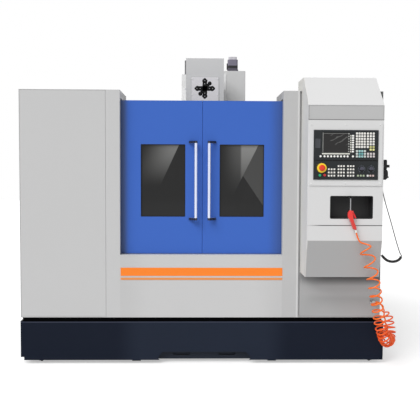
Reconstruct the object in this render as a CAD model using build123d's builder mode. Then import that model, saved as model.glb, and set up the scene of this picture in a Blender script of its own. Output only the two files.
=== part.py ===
"""A vertical machining centre: C-frame castings in a sheet-metal enclosure with sliding doors and a console.

Millimetres. X to the operator's right, Y from the operator to the back, Z up. The origin is on the floor
under the middle of the machine. Depths are measured back from the front face of the guards.
"""

from build123d import *
import math
import os

# Running and seating clearances
SEAT_GAP = 0.3
SLIDE_GAP = 0.5
SHEET = 3.0

# Overall frame
MACHINE_DEPTH = 2300.0
CONSOLE_REACH = 280.0
ESTOP_PROUD = 40.0
GUARD_Y = CONSOLE_REACH + ESTOP_PROUD - MACHINE_DEPTH / 2
FOOT_HEIGHT = 60.0

# Base pan under the enclosure
PAN_HALF = 1264.0
PAN_BOTTOM = 48.0
SKIRT_BOTTOM = 27.0
SKIRT_LEFT = -PAN_HALF + 24
PAN_TOP = 300.0
PAN_SHEET = 4.0
PAN_PROUD = 8.0
PAN_DEPTH = 1530.0
PAN_FLANGE = 70.0
RIM_HEIGHT = 25.0
RIM_INSET = 14.0
RIM_WIDTH = 40.0
FEET_X = (-PAN_HALF + 128, PAN_HALF - 79)
NUT_RADIUS = 27.0
NOTCH_X = 11.0
NOTCH_TOP = 84.0
NOTCH_HALF_TOP = 291.0
NOTCH_HALF_BOTTOM = 340.0
NOTCH_CORNER = 16.0

# Guards, the two sheet-metal boxes beside the doors
GUARD_BOTTOM = PAN_TOP + RIM_HEIGHT
GUARD_TOP = 1897.0
GUARD_DEPTH = 411.0
BEAM_BOTTOM = 1800.0
LEFT_EDGE = -PAN_HALF + 2
LEFT_SEAM = -672.0
LEFT_JAMB = -575.0
RIGHT_JAMB = 550.0
RIGHT_SEAM = 662.0
RIGHT_EDGE = 1238.0
PANEL_SEAM = 3.0
PANEL_FOLD = 14.0
SEAT_FLANGE = 20.0

# Doors
DOOR_SPLIT = -6.0
DOOR_FRONT = 59.0
DOOR_THICK = 38.0
DOOR_BOTTOM = 765.0
DOOR_TOP = 1832.0
DOOR_WIDTH = 594.0
DOOR_MEETING = 1.5
DOOR_TRAVEL = 450.0
WINDOW_NEAR = 120.0
WINDOW_WIDTH = 310.0
WINDOW_BOTTOM = 1024.0
WINDOW_TOP = 1529.0
WINDOW_CORNER = 5.0
GLASS_SETBACK = 10.0
GLASS_THICK = 12.0
GLASS_LAP = 15.0
HANDLE_OFFSET = 46.0
HANDLE_RADIUS = 10.5
HANDLE_STANDOFF = 45.0
HANDLE_BOTTOM = 1002.0
HANDLE_TOP = 1552.0
BRACKET_HEIGHT = 16.0
RAIL_BEHIND = 7.0
RAIL_DEPTH = 20.0
RAIL_BOTTOM = 1765.0
RAIL_TOP = 1795.0
GUIDE_BOTTOM = 735.0
GUIDE_TOP = 757.0
GUIDE_TONGUE = 6.0
SLOT_BOTTOM = 728.0
SLOT_TOP = 1846.0
SLOT_FRONT = 50.0
SLOT_BACK = 140.0

# Lower front panel and its two painted bands
SILL_TOP = 763.0
SILL_DEPTH = 50.0
SHELF_TOP = GUIDE_BOTTOM
BAND_MARGIN = 4.0
BAND_THICK = 1.5
WIDE_BAND = (616.0, 673.0)
NARROW_BAND = (588.0, 603.5)

# Enclosure behind the guards
WALL_TOP = 1840.0
TRAY_FRONT = 160.0
TRAY_OUTER_Z = 700.0
WALL_FLANGE = 30.0

# Coolant tank on the floor, with the tray's drain chutes over its lid
TANK_HALF = 600.0
TANK_FRONT = 45.0
TANK_BACK = 345.0
TANK_LID = 244.0
CHUTE_SPREAD = 180.0
CHUTE_DEPTH = 60.0
CHUTE = (206.0, 66.0)

# Castings, all on the spindle's middle plane
SPINDLE_X = 15.0
SPINDLE_DEPTH = 760.0
BED_HALF = 350.0
BED_FRONT = 400.0
BED_BACK = 1740.0
BED_TOP = 560.0
COLUMN_FRONT = 1388.0
COLUMN_BACK = 1740.0
COLUMN_HALF = 199.0
COLUMN_FOOT_HALF = 330.0
COLUMN_TOP = 2208.0
RAIL_WIDTH = 35.0
RAIL_HEIGHT = 38.0
RAIL_SEAT = 15.0
BLOCK_WIDTH = 90.0
BLOCK_LENGTH = 110.0
BLOCK_CAP = 15.0
Y_RAIL_SPREAD = 230.0
X_RAIL_SPREAD = 100.0
Z_RAIL_SPREAD = 150.0
SCREW_RADIUS = 16.0

# Saddle and table
TRAVEL_X = 650.0
TRAVEL_Y = 400.0
TRAVEL_Z = 500.0
SADDLE_HALF_X = 450.0
SADDLE_HALF_Y = 140.0
SADDLE_TOP = 745.0
TABLE_HALF_X = 400.0
TABLE_HALF_Y = 210.0
TABLE_TOP = 900.0
TABLE_THICK = 107.0
T_SLOT_COUNT = 5
T_SLOT_PITCH = 80.0
T_SLOT_WIDTH = 18.0
T_SLOT_WIDE = 30.0
Y_SCREW_Z = 490.0
X_SCREW_Z = 728.0
Z_SCREW_DEPTH = 1400.0

# Way covers: three nested lengths on each axis, the middle one moving half as far as the end one
FRONT_COVER_LENGTH = 245.0
REAR_COVER_LENGTH = 218.0
Z_COVER_LENGTH = 285.0
COVER_TOP = 740.0
COVER_HALF = 400.0
COVER_SKIRT = 600.0
COVER_STEP = SHEET + SLIDE_GAP
Z_COVER_FRONT = 1318.0
Z_COVER_HALF = 205.0
Z_COVER_FIXED = (722.0, 1085.0)
WING_LENGTH = 400.0
WING_HALF = 165.0
WING_TOP = 789.0
WING_SKIRT = 752.0

# Spindle head
NOSE_Z = 1500.0
HEAD_BOTTOM = 1545.0
HEAD_HALF = 147.0
HEAD_FRONT = 610.0
SHOULDER_Z = 1790.0
CARRIAGE_BOTTOM = 1600.0
CARRIAGE_TOP = 2060.0
CARRIAGE_FRONT = 1290.0
CARRIAGE_HALF = 197.0
HEAD_COVER_TOP = 2217.0
HEAD_COVER_BACK = 1285.0
SPINDLE_RADIUS = 44.0
SIGN_WIDTH = 218.0
SIGN_TOP = 2077.0

# Tool magazine, parked to the left of the spindle
MAGAZINE_TRAVEL = 240.0
POCKET_COUNT = 16
POCKET_RING = 280.0
POCKET_RADIUS = 30.0
DISC_RADIUS = 305.0
DISC_BOTTOM = 1362.0
DISC_THICK = 16.0
HUB_RADIUS = 60.0
SHAFT_RADIUS = 20.0
INDEX_MOTOR = (38.0, 115.0)
GUIDE_ROD_RADIUS = 15.0
GUIDE_ROD_SPREAD = 80.0
GUIDE_ROD_Z = 1690.0
MAGAZINE_X = SPINDLE_X - POCKET_RING - MAGAZINE_TRAVEL
ARM_LEFT = -300.0
CARRIAGE_WIDTH = 180.0
CARRIAGE_LEFT = ARM_LEFT - 5 - MAGAZINE_TRAVEL - CARRIAGE_WIDTH

# Console
CONSOLE_LEFT = 675.0
CONSOLE_RIGHT = 1167.0
CONSOLE_BOTTOM = 644.0
CONSOLE_CHIN = 893.0
CONSOLE_CHIN_DEPTH = -214.0
CONSOLE_NOSE = 1775.0
CONSOLE_TOP = 1978.0
CONSOLE_CREST_DEPTH = -70.0
CONSOLE_BACK_DEPTH = 167.0
BAND_BOTTOM = 1680.0
FRAME_BOX = (682.0, 1157.0, 1252.0, 1660.0)
OPERATOR_BOX = (709.0, 1129.0, 1291.0, 1612.0)
UNIT_SPLIT = 1416.0
FRAME_THICK = 6.0
UNIT_THICK = 11.0
LCD_BOX = (765.0, 944.0, 1466.0, 1597.0)
KEY_PROUD = 1.5
NICHE_BOX = (822.0, 1103.0, 1036.0, 1186.0)
NICHE_DEPTH = 90.0
NICHE_CORNER = 10.0
HOOK_DROP = 14.0
HOOK_THICK = 4.0
ESTOP_AT = (762.5, 1366.5)
START_AT = (750.5, 1319.5)
STOP_AT = (781.5, 1320.5)
FEED_AT = (1022.5, 1361.0)
SPEED_AT = (1083.0, 1361.0)
COLLAR_RADIUS = 31.0
COLLAR_HEIGHT = 8.0
ESTOP_RADIUS = 20.0
ESTOP_STEM = 12.0
ESTOP_TRAVEL = 5.0
BUTTON_RADIUS = 8.5
BUTTON_HEIGHT = 7.0
BUTTON_TRAVEL = 3.0
KNOB_RADIUS = 14.0
KNOB_HEIGHT = 18.0
KNOB_SHAFT = 3.0

# Handwheel pendant on the console's right side
PENDANT_DEPTH = -150.0
PENDANT_BOTTOM = 1290.0
PENDANT_TOP = 1424.0
PENDANT_HALF = 42.0
PENDANT_THICK = 42.0
PENDANT_HOOK = 8.0
WHEEL_RADIUS = 30.0
WHEEL_Z = 1326.0
SELECTOR_Z = 1381.0

# Air gun hanging on the niche, with its outline as X and Z
GUN_DEPTH = -305.0
GUN_HALF = 12.0
NOZZLE_X = 950.0
NOZZLE_RADIUS = 4.0
GUN_TOP = 1094.0
GUN_OUTLINE = [(941, 1091), (950, GUN_TOP), (957, 1089), (964, 1067), (968, 1048), (970, 1033), (978, 1007),
               (986, 990), (990, 975), (980, 968), (968, 971), (962, 988), (955, 1007), (945, 1032), (937, 1042),
               (933, 1061), (934, 1076)]
TRIGGER_OUTLINE = [(958, 1091), (966, 1088), (972, 1078), (980, 1063), (988, 1046), (984, 1041), (978, 1044),
                   (970, 1060), (963, 1074), (958, 1082)]
TRIGGER_PIN = (963.0, 1084.5)
LEVER_HALF = 5.0
HANDLE_END = (985.0, 968.0)
FITTING_END = (990.0, 949.0)

# Electrical cabinet and the drive box and motor by the column
CABINET_HALF = 430.0
CABINET_BOTTOM = 620.0
CABINET_TOP = 1880.0
CABINET_BACK = 1955.0
CABINET_DOOR = 25.0
DRIVE_BOX = (216.0, 386.0)
DRIVE_BOX_FRONT = 1392.0
DRIVE_BOX_LENGTH = 168.0
DRIVE_BOX_Z = (1700.0, 2242.0)
Z_MOTOR_SIZE = 98.0
Z_MOTOR_AT = (274.0, DRIVE_BOX_FRONT + 58)
Z_MOTOR_TOP = 2371.0

# Free cords: the route of each, as X, depth and Z
AIR_HOSE_RADIUS = 5.0
AIR_COIL_RADIUS = 38.0
AIR_TAIL = [(990, -305, 949), (1000, -305, 911), (1017, -309, 884), (1043, -317, 866)]
AIR_COIL = [(1043, -317, 866), (1066, -317, 800), (1085, -315, 725), (1103, -310, 650), (1119, -303, 575),
            (1134, -290, 500), (1151, -272, 425), (1171, -248, 345), (1198, -220, 265), (1234, -178, 199),
            (1274, -112, 196), (1290, -68, 264), (1277, -58, 335), (1250, -50, 395)]
AIR_END = [(1250, -50, 395), (1241.3, -47.3, 415), (1230, -38, 432), (1214, -30, 440), (1196, -30, 440)]
OUTLET_AT = (1182.0, 440.0)
OUTLET_REACH = 30.0
OUTLET_ELBOW = 14.0
PENDANT_CORD_RADIUS = 3.0
PENDANT_COIL_RADIUS = 9.0
PENDANT_CORD = [(1196, -150, 1290), (1196, -150, 1225), (1208, -154, 1150), (1230, -158, 1065),
                (1255, -161, 985), (1281, -164, 905), (1303, -167, 840), (1322, -168, 795)]
PENDANT_COIL = [(1322, -168, 795), (1331, -168, 772), (1314, -165, 750), (1284, -160, 738), (1248, -152, 741),
                (1222, -140, 760), (1206, -128, 785), (1168, -128, 785)]


def behind(depth):
    """The Y of a depth behind the guards' front face."""
    return GUARD_Y + depth


def facing_front(depth):
    """A plane seen by the operator, X to the right and Z up; a positive extrusion comes forward."""
    return Plane(origin=(0, behind(depth), 0), x_dir=(1, 0, 0), z_dir=(0, -1, 0))


def facing_right(x):
    """A plane across the machine, Y to the back and Z up; a positive extrusion goes to +X."""
    return Plane(origin=(x, 0, 0), x_dir=(0, 1, 0), z_dir=(1, 0, 0))


def facing_up(z):
    return Plane.XY.offset(z)


def patch(a0, a1, b0, b1, mode=Mode.ADD):
    """A rectangle in the running sketch, from its low and high corners."""
    with Locations(((a0 + a1) / 2, (b0 + b1) / 2)):
        Rectangle(a1 - a0, b1 - b0, mode=mode)


def both_sides(spread, depths):
    """Points either side of the spindle's plane at each depth."""
    return [(SPINDLE_X + side * spread, behind(depth)) for depth in depths for side in (-1, 1)]


def make_base_pan():
    """An open tray of sheet with an inward flange, a rim for the enclosure and a longer skirt in front."""
    skirt, back = behind(-PAN_PROUD), behind(PAN_DEPTH)
    front = skirt + PAN_SHEET
    bed_way = BED_HALF + 30
    lug, rim_in = 90.0, RIM_INSET + RIM_WIDTH
    with BuildPart() as pan:
        with BuildSketch(facing_up(PAN_BOTTOM)):
            patch(-PAN_HALF, PAN_HALF, front, back)
            patch(-PAN_HALF + PAN_SHEET, PAN_HALF - PAN_SHEET, front + PAN_SHEET, back - PAN_SHEET, Mode.SUBTRACT)
        extrude(amount=PAN_TOP - PAN_BOTTOM)
        with BuildSketch(facing_up(SKIRT_BOTTOM)):
            patch(SKIRT_LEFT, PAN_HALF - PAN_SHEET / 2, skirt, front)
        extrude(amount=PAN_TOP - SKIRT_BOTTOM)
        with BuildSketch(facing_up(PAN_TOP - PAN_SHEET)):
            patch(-PAN_HALF, PAN_HALF, front, back)
            patch(-PAN_HALF + PAN_FLANGE, PAN_HALF - PAN_FLANGE, front + PAN_FLANGE, back - PAN_FLANGE,
                  Mode.SUBTRACT)
        extrude(amount=PAN_SHEET)
        with BuildSketch(facing_up(PAN_TOP)):
            patch(-PAN_HALF + RIM_INSET, PAN_HALF - RIM_INSET, skirt + RIM_INSET, back - RIM_INSET)
            patch(-PAN_HALF + rim_in, PAN_HALF - rim_in, skirt + rim_in, back - rim_in, Mode.SUBTRACT)
        extrude(amount=RIM_HEIGHT)
        with BuildSketch(facing_up(FOOT_HEIGHT)):
            for x, y in pan_feet():
                side = math.copysign(1, x)
                patch(*sorted((x - side * lug / 2, side * (PAN_HALF - PAN_SHEET / 2))), y - lug / 2, y + lug / 2)
        extrude(amount=RIM_WIDTH / 4)
        with BuildSketch(facing_front(PAN_DEPTH - PAN_FLANGE - RIM_WIDTH)):
            patch(SPINDLE_X - bed_way, SPINDLE_X + bed_way, PAN_BOTTOM - 1, GUARD_BOTTOM + 1)
        extrude(amount=-(PAN_FLANGE + 2 * RIM_WIDTH), mode=Mode.SUBTRACT)
        with BuildSketch(facing_front(-2 * PAN_PROUD)) as notch:
            with BuildLine():
                Polyline((NOTCH_X - NOTCH_HALF_BOTTOM, SKIRT_BOTTOM - 1), (NOTCH_X - NOTCH_HALF_TOP, NOTCH_TOP),
                         (NOTCH_X + NOTCH_HALF_TOP, NOTCH_TOP), (NOTCH_X + NOTCH_HALF_BOTTOM, SKIRT_BOTTOM - 1),
                         close=True)
            make_face()
            fillet(notch.vertices().group_by(Axis.Z)[-1], NOTCH_CORNER)
        extrude(amount=-(2 * PAN_PROUD + PAN_SHEET), mode=Mode.SUBTRACT)
    return pan


def pan_feet():
    return [(x, behind(depth)) for depth in (70, PAN_DEPTH - 70) for x in FEET_X]


def bed_feet():
    return both_sides(BED_HALF - 30, (BED_FRONT + 60, (BED_FRONT + BED_BACK) / 2, BED_BACK - 60))


def make_levelling_feet():
    """Levelling screws with a lock nut and a rounded point on the floor."""
    stud, tip, nut_at, nut = 12.0, 7.0, 9.0, 22.0
    with BuildPart() as feet:
        with Locations(*[(x, y, tip) for x, y in pan_feet() + bed_feet()]):
            Cylinder(stud, FOOT_HEIGHT - tip, align=(Align.CENTER, Align.CENTER, Align.MIN))
            Cone(stud - 4, stud, tip, align=(Align.CENTER, Align.CENTER, Align.MAX))
        with BuildSketch(facing_up(nut_at)):
            with Locations(*(pan_feet() + bed_feet())):
                RegularPolygon(NUT_RADIUS, 6)
        extrude(amount=nut)
    return feet


def make_coolant_tank():
    left, right, front, back = NOTCH_X - TANK_HALF, NOTCH_X + TANK_HALF, behind(TANK_FRONT), behind(TANK_BACK)
    skid, top = 21.0, TANK_LID - 8
    with BuildPart() as tank:
        with BuildSketch(facing_up(skid)) as plan:
            patch(left, right, front, back)
            fillet(plan.vertices(), 20)
        extrude(amount=top - skid)
        with BuildSketch(facing_up(top)) as lid:
            patch(left - 6, right + 6, front - 6, back + 6)
            fillet(lid.vertices(), 24)
        extrude(amount=8)
        with BuildSketch(facing_up(0)):
            for x in (left + 120, right - 120):
                patch(x - 30, x + 30, front + 20, back - 20)
        extrude(amount=skid)
        with Locations((right - 160, (front + back) / 2, top + 8)):
            Cylinder(62, 12, align=(Align.CENTER, Align.CENTER, Align.MIN))
            Cylinder(45, 120, align=(Align.CENTER, Align.CENTER, Align.MIN))
        with BuildSketch(facing_up(TANK_LID)):
            for x in (SPINDLE_X - CHUTE_SPREAD, SPINDLE_X + CHUTE_SPREAD):
                patch(x - CHUTE[0] / 2 - 12, x + CHUTE[0] / 2 + 12, behind(TRAY_FRONT + CHUTE_DEPTH - CHUTE[1] / 2 - 12),
                      behind(TRAY_FRONT + CHUTE_DEPTH + CHUTE[1] / 2 + 12))
                patch(x - CHUTE[0] / 2 - 2, x + CHUTE[0] / 2 + 2, behind(TRAY_FRONT + CHUTE_DEPTH - CHUTE[1] / 2 - 2),
                      behind(TRAY_FRONT + CHUTE_DEPTH + CHUTE[1] / 2 + 2), Mode.SUBTRACT)
        extrude(amount=20)
        with BuildSketch(facing_front(TANK_FRONT - 6)):
            for x in (NOTCH_X - 160, NOTCH_X + 160):
                with Locations((x, 60)):
                    SlotOverall(120, 26)
        extrude(amount=-18, mode=Mode.SUBTRACT)
    return tank


def make_machine_bed():
    half, flange = BED_HALF, 40.0
    trough, trough_floor = 110.0, Y_SCREW_Z - 50
    bearing_depth = (BED_FRONT + 30, COLUMN_FRONT - 60)
    motor = 120.0
    with BuildPart() as bed:
        with BuildSketch(facing_up(FOOT_HEIGHT)) as plan:
            patch(SPINDLE_X - half, SPINDLE_X + half, behind(BED_FRONT), behind(BED_BACK))
            fillet(plan.vertices(), 30)
        extrude(amount=flange)
        with BuildSketch(facing_up(FOOT_HEIGHT + flange)) as web:
            patch(SPINDLE_X - half + 24, SPINDLE_X + half - 24, behind(BED_FRONT + 16), behind(BED_BACK - 16))
        extrude(amount=BED_TOP - FOOT_HEIGHT - flange)
        with BuildSketch(facing_up(BED_TOP - flange)):
            patch(SPINDLE_X - half, SPINDLE_X + half, behind(BED_FRONT), behind(BED_BACK))
        extrude(amount=flange)
        with BuildSketch(facing_up(BED_TOP)):
            for side in (-1, 1):
                x = SPINDLE_X + side * Y_RAIL_SPREAD
                patch(x - RAIL_WIDTH, x + RAIL_WIDTH, behind(BED_FRONT + 10), behind(COLUMN_FRONT - 60))
        extrude(amount=RAIL_SEAT)
        with BuildSketch(facing_up(BED_TOP + RAIL_SEAT)):
            patch(SPINDLE_X - trough, SPINDLE_X + trough, behind(BED_FRONT + 60), behind(COLUMN_FRONT - 90))
        extrude(amount=trough_floor - BED_TOP - RAIL_SEAT, mode=Mode.SUBTRACT)
        pocket_mid, pocket_long = (FOOT_HEIGHT + BED_TOP) / 2, (BED_BACK - BED_FRONT) / 4 - 60
        for side in (-1, 1):
            with BuildSketch(facing_right(SPINDLE_X + side * (half + 1))) as pockets:
                for index in range(4):
                    at = behind(BED_FRONT + (index + 0.5) * (BED_BACK - BED_FRONT) / 4)
                    patch(at - pocket_long / 2, at + pocket_long / 2, pocket_mid - 120, pocket_mid + 120)
                fillet(pockets.vertices(), 40)
            extrude(amount=-side * 70, mode=Mode.SUBTRACT)
        with BuildSketch(facing_front(BED_FRONT + 1)):
            with Locations((SPINDLE_X, Y_SCREW_Z)):
                Circle(SCREW_RADIUS + SEAT_GAP)
        extrude(amount=-(COLUMN_FRONT - BED_FRONT), mode=Mode.SUBTRACT)
        with BuildSketch(facing_front(BED_FRONT)) as mount:
            with Locations((SPINDLE_X, Y_SCREW_Z)):
                Rectangle(motor + 20, motor)
                Circle(SCREW_RADIUS + SEAT_GAP, mode=Mode.SUBTRACT)
        extrude(amount=30)
        with BuildSketch(facing_front(BED_FRONT - 30)) as motor_end:
            with Locations((SPINDLE_X, Y_SCREW_Z)):
                Rectangle(motor, motor)
            fillet(motor_end.vertices(), 14)
        extrude(amount=170)
    return bed


def make_linear_rails():
    """Two rails on the bed and two on the column, with the waisted section of a ball guide."""
    with BuildPart() as rails:
        with BuildSketch(facing_front(BED_FRONT + 20)):
            for side in (-1, 1):
                with Locations((SPINDLE_X + side * Y_RAIL_SPREAD, BED_TOP + RAIL_SEAT)):
                    rail_section()
        extrude(amount=-(COLUMN_FRONT - BED_FRONT - 90))
        with BuildSketch(Plane(origin=(SPINDLE_X, behind(COLUMN_FRONT), CARRIAGE_BOTTOM - TRAVEL_Z - 20),
                               x_dir=(1, 0, 0), z_dir=(0, 0, 1))):
            for side in (-1, 1):
                with Locations(Location((side * Z_RAIL_SPREAD, 0), 180)):
                    rail_section()
        extrude(amount=CARRIAGE_TOP + 20 - (CARRIAGE_BOTTOM - TRAVEL_Z - 20))
    return rails


def rail_section():
    """The section of a rail, standing on its local X axis."""
    half, waist = RAIL_WIDTH / 2, RAIL_WIDTH / 2 - 4
    points = [(-half, 0), (-half, 14), (-waist, 19), (-waist, 25), (-half, 30), (-half, RAIL_HEIGHT)]
    Polygon(*points, *[(-x, y) for x, y in reversed(points)], align=None)


def block_section(mode=Mode.ADD):
    """The section of a carriage block astride a rail that stands on its local X axis."""
    half, slot = BLOCK_WIDTH / 2, RAIL_WIDTH / 2 + SEAT_GAP
    low, roof = 8.0, RAIL_HEIGHT + SEAT_GAP
    Polygon((-half, low), (-half, roof + BLOCK_CAP), (half, roof + BLOCK_CAP), (half, low), (slot, low),
            (slot, roof), (-slot, roof), (-slot, low), align=None, mode=mode)


def make_column():
    half, foot = COLUMN_HALF, COLUMN_FOOT_HALF
    trough = 70.0
    arm_x, arm_depth, arm_z = (ARM_LEFT, -190.0), (640.0, 1430.0), (GUIDE_ROD_Z - 50, GUIDE_ROD_Z + 50)
    far_end = CARRIAGE_LEFT - 5
    with BuildPart() as column:
        with BuildSketch(facing_front(COLUMN_FRONT)) as front:
            with BuildLine():
                Polyline((SPINDLE_X - foot, BED_TOP), (SPINDLE_X - foot, BED_TOP + 120),
                         (SPINDLE_X - half, BED_TOP + 560), (SPINDLE_X - half, COLUMN_TOP),
                         (SPINDLE_X + half, COLUMN_TOP), (SPINDLE_X + half, BED_TOP + 560),
                         (SPINDLE_X + foot, BED_TOP + 120), (SPINDLE_X + foot, BED_TOP), close=True)
            make_face()
        extrude(amount=-(COLUMN_BACK - COLUMN_FRONT))
        with BuildSketch(facing_front(COLUMN_FRONT - 1)):
            patch(SPINDLE_X - trough, SPINDLE_X + trough, 1052, COLUMN_TOP - 70)
        extrude(amount=-61, mode=Mode.SUBTRACT)
        for side in (-1, 1):
            with BuildSketch(facing_right(SPINDLE_X + side * (foot + 1))) as windows:
                for z in (820, 1180, 1540, 1900):
                    patch(behind(COLUMN_FRONT + 90), behind(COLUMN_BACK - 60), z - 120, z + 120)
                fillet(windows.vertices(), 45)
            extrude(amount=-side * (foot - half + 60), mode=Mode.SUBTRACT)
        with BuildSketch(facing_up(COLUMN_TOP + 1)):
            with Locations((SPINDLE_X, behind(Z_SCREW_DEPTH + 22))):
                Circle(SCREW_RADIUS + SEAT_GAP)
        extrude(amount=-(COLUMN_TOP - 1000), mode=Mode.SUBTRACT)
        with BuildSketch(facing_up(arm_z[0])):
            patch(*arm_x, behind(arm_depth[0]), behind(arm_depth[1]))
        extrude(amount=arm_z[1] - arm_z[0])
        with BuildSketch(facing_up(arm_z[0])):
            patch(arm_x[1] - 1, SPINDLE_X - half + 1, behind(COLUMN_FRONT + 4), behind(arm_depth[1]))
        extrude(amount=arm_z[1] - arm_z[0])
        with BuildSketch(facing_right(arm_x[0])):
            for side in (-1, 1):
                with Locations((behind(SPINDLE_DEPTH) + side * GUIDE_ROD_SPREAD, GUIDE_ROD_Z)):
                    Circle(GUIDE_ROD_RADIUS)
        extrude(amount=far_end - arm_x[0])
        with BuildSketch(facing_right(far_end)) as end_plate:
            patch(behind(arm_depth[0]), behind(SPINDLE_DEPTH + 120), *arm_z)
            fillet(end_plate.vertices(), 20)
        extrude(amount=-20)
    return column


def make_guard(edge, seam, jamb):
    """A sheet box beside the doors: a full-height door pocket, and a roof beam over the work area's corner."""
    side = math.copysign(1, jamb - edge)
    wall = side * SHEET
    low, high = sorted((edge, jamb))
    front, pocket, back = behind(0), behind(TRAY_FRONT), behind(GUARD_DEPTH)
    with BuildPart() as guard:
        with BuildSketch(facing_up(GUARD_BOTTOM)):
            patch(*sorted((edge, edge + wall)), front, back)
            patch(*sorted((jamb, jamb - wall)), front, pocket)
            patch(low, high, pocket - SHEET, pocket)
            patch(*sorted((jamb, seam)), front, front + SHEET)
            patch(*sorted((seam, seam + wall)), front, front + PANEL_FOLD + SHEET)
            for start, reach in ((seam + wall, -side), (edge, side)):
                patch(*sorted((start, start + reach * SEAT_FLANGE)), front + PANEL_FOLD, front + PANEL_FOLD + SHEET)
        extrude(amount=GUARD_TOP - GUARD_BOTTOM)
        with BuildSketch(facing_up(BEAM_BOTTOM)):
            patch(low, high, pocket, back)
            patch(low + SHEET, high - SHEET, pocket, back - SHEET, Mode.SUBTRACT)
        extrude(amount=GUARD_TOP - BEAM_BOTTOM)
        for z, reach in ((GUARD_BOTTOM, pocket), (BEAM_BOTTOM, back), (GUARD_TOP - SHEET, back)):
            with BuildSketch(facing_up(z)):
                patch(low, high, front if z != BEAM_BOTTOM else pocket, reach)
            extrude(amount=SHEET)
        with BuildSketch(facing_up(GUARD_BOTTOM)):
            patch(*sorted((edge, edge + side * WALL_FLANGE * 2)), pocket, back)
        extrude(amount=SHEET)
        with BuildSketch(facing_right(jamb + 1)) as slot:
            patch(behind(SLOT_FRONT), behind(SLOT_BACK), SLOT_BOTTOM, SLOT_TOP)
        extrude(amount=2 * SHEET, both=True, mode=Mode.SUBTRACT)
    return guard


def make_left_guard():
    return make_guard(LEFT_EDGE, LEFT_SEAM, LEFT_JAMB)


def make_right_guard():
    return make_guard(RIGHT_EDGE, RIGHT_SEAM, RIGHT_JAMB)


def make_guard_front_panels():
    """The two removable panels, each a tray of sheet with folded edges."""
    low, high = GUARD_BOTTOM + SHEET + PANEL_SEAM / 2, GUARD_TOP - SHEET - PANEL_SEAM / 2
    spans = ((LEFT_EDGE + SHEET + PANEL_SEAM / 2, LEFT_SEAM - PANEL_SEAM / 2),
             (RIGHT_SEAM + 4 * PANEL_SEAM, RIGHT_EDGE - SHEET - PANEL_SEAM / 2))
    with BuildPart() as panels:
        for left, right in spans:
            with BuildSketch(facing_front(0)):
                patch(left, right, low, high)
            extrude(amount=-PANEL_FOLD)
            with BuildSketch(facing_front(SHEET)):
                patch(left + SHEET, right - SHEET, low + SHEET, high - SHEET)
            extrude(amount=-PANEL_FOLD, mode=Mode.SUBTRACT)
    return panels


def make_lower_front_panel():
    """One folded sheet: the front face, the sill under the doors and the shelf that carries their guide."""
    t = SHEET
    face = [(0, GUARD_BOTTOM), (0, SILL_TOP), (SILL_DEPTH + t, SILL_TOP), (SILL_DEPTH + t, SHELF_TOP),
            (TRAY_FRONT - t, SHELF_TOP)]
    under = [(TRAY_FRONT - t, SHELF_TOP - t), (SILL_DEPTH, SHELF_TOP - t), (SILL_DEPTH, SILL_TOP - t),
             (t, SILL_TOP - t), (t, GUARD_BOTTOM)]
    with BuildPart() as panel:
        with BuildSketch(facing_right(LEFT_JAMB)):
            with BuildLine():
                Polyline(*[(behind(d), z) for d, z in face + under], close=True)
            make_face()
        extrude(amount=RIGHT_JAMB - LEFT_JAMB)
        with BuildSketch(facing_up(GUARD_BOTTOM)):
            patch(LEFT_JAMB, RIGHT_JAMB, behind(0), behind(RIM_WIDTH))
        extrude(amount=t)
    return panel


def make_accent_bands():
    with BuildPart() as bands:
        with BuildSketch(facing_front(0)):
            for low, high in (WIDE_BAND, NARROW_BAND):
                patch(LEFT_JAMB + BAND_MARGIN, RIGHT_JAMB + BAND_MARGIN / 2, low, high)
        extrude(amount=BAND_THICK)
    return bands


def make_enclosure_walls():
    """The side walls with their bolted hatches, and the rear splash walls up to the column."""
    wall_back = COLUMN_FRONT
    cover_side = Z_COVER_HALF - COVER_STEP
    arm = (-312.0, 1628.0, 1752.0)
    with BuildPart() as walls:
        for edge, side in ((LEFT_EDGE, 1), (RIGHT_EDGE, -1)):
            with BuildSketch(facing_up(GUARD_BOTTOM)):
                patch(*sorted((edge, edge + side * SHEET)), behind(GUARD_DEPTH), behind(PAN_DEPTH - RIM_WIDTH))
                patch(*sorted((edge, edge + side * WALL_FLANGE)), behind(PAN_DEPTH - RIM_WIDTH),
                      behind(PAN_DEPTH - RIM_WIDTH) + SHEET)
            extrude(amount=WALL_TOP - GUARD_BOTTOM)
            for z, flange in ((GUARD_BOTTOM, 2 * WALL_FLANGE), (WALL_TOP - SHEET, WALL_FLANGE)):
                with BuildSketch(facing_up(z)):
                    patch(*sorted((edge, edge + side * flange)), behind(GUARD_DEPTH), behind(PAN_DEPTH - RIM_WIDTH))
                extrude(amount=SHEET)
            with BuildSketch(facing_right(edge)) as hatch:
                patch(behind(GUARD_DEPTH + 180), behind(GUARD_DEPTH + 880), 760, 1560)
                fillet(hatch.vertices(), 25)
            extrude(amount=-side * 5)
        column_side = SPINDLE_X - cover_side + 1
        for inner, outer in ((column_side, LEFT_EDGE + SHEET), (2 * SPINDLE_X - column_side, RIGHT_EDGE - SHEET)):
            with BuildSketch(facing_front(wall_back)):
                patch(*sorted((inner, outer)), BED_TOP + SHEET, WALL_TOP)
            extrude(amount=SHEET)
            clear = inner - 10 if inner < SPINDLE_X else DRIVE_BOX[1] + 10
            with BuildSketch(facing_up(WALL_TOP - SHEET)):
                patch(*sorted((clear, outer)), behind(wall_back - SHEET), behind(wall_back - SHEET) + WALL_FLANGE)
            extrude(amount=SHEET)
        with BuildSketch(facing_front(wall_back - 2 * SHEET)):
            patch(arm[0], column_side + 1, arm[1], arm[2])
        extrude(amount=-3 * SHEET, mode=Mode.SUBTRACT)
    return walls


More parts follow.
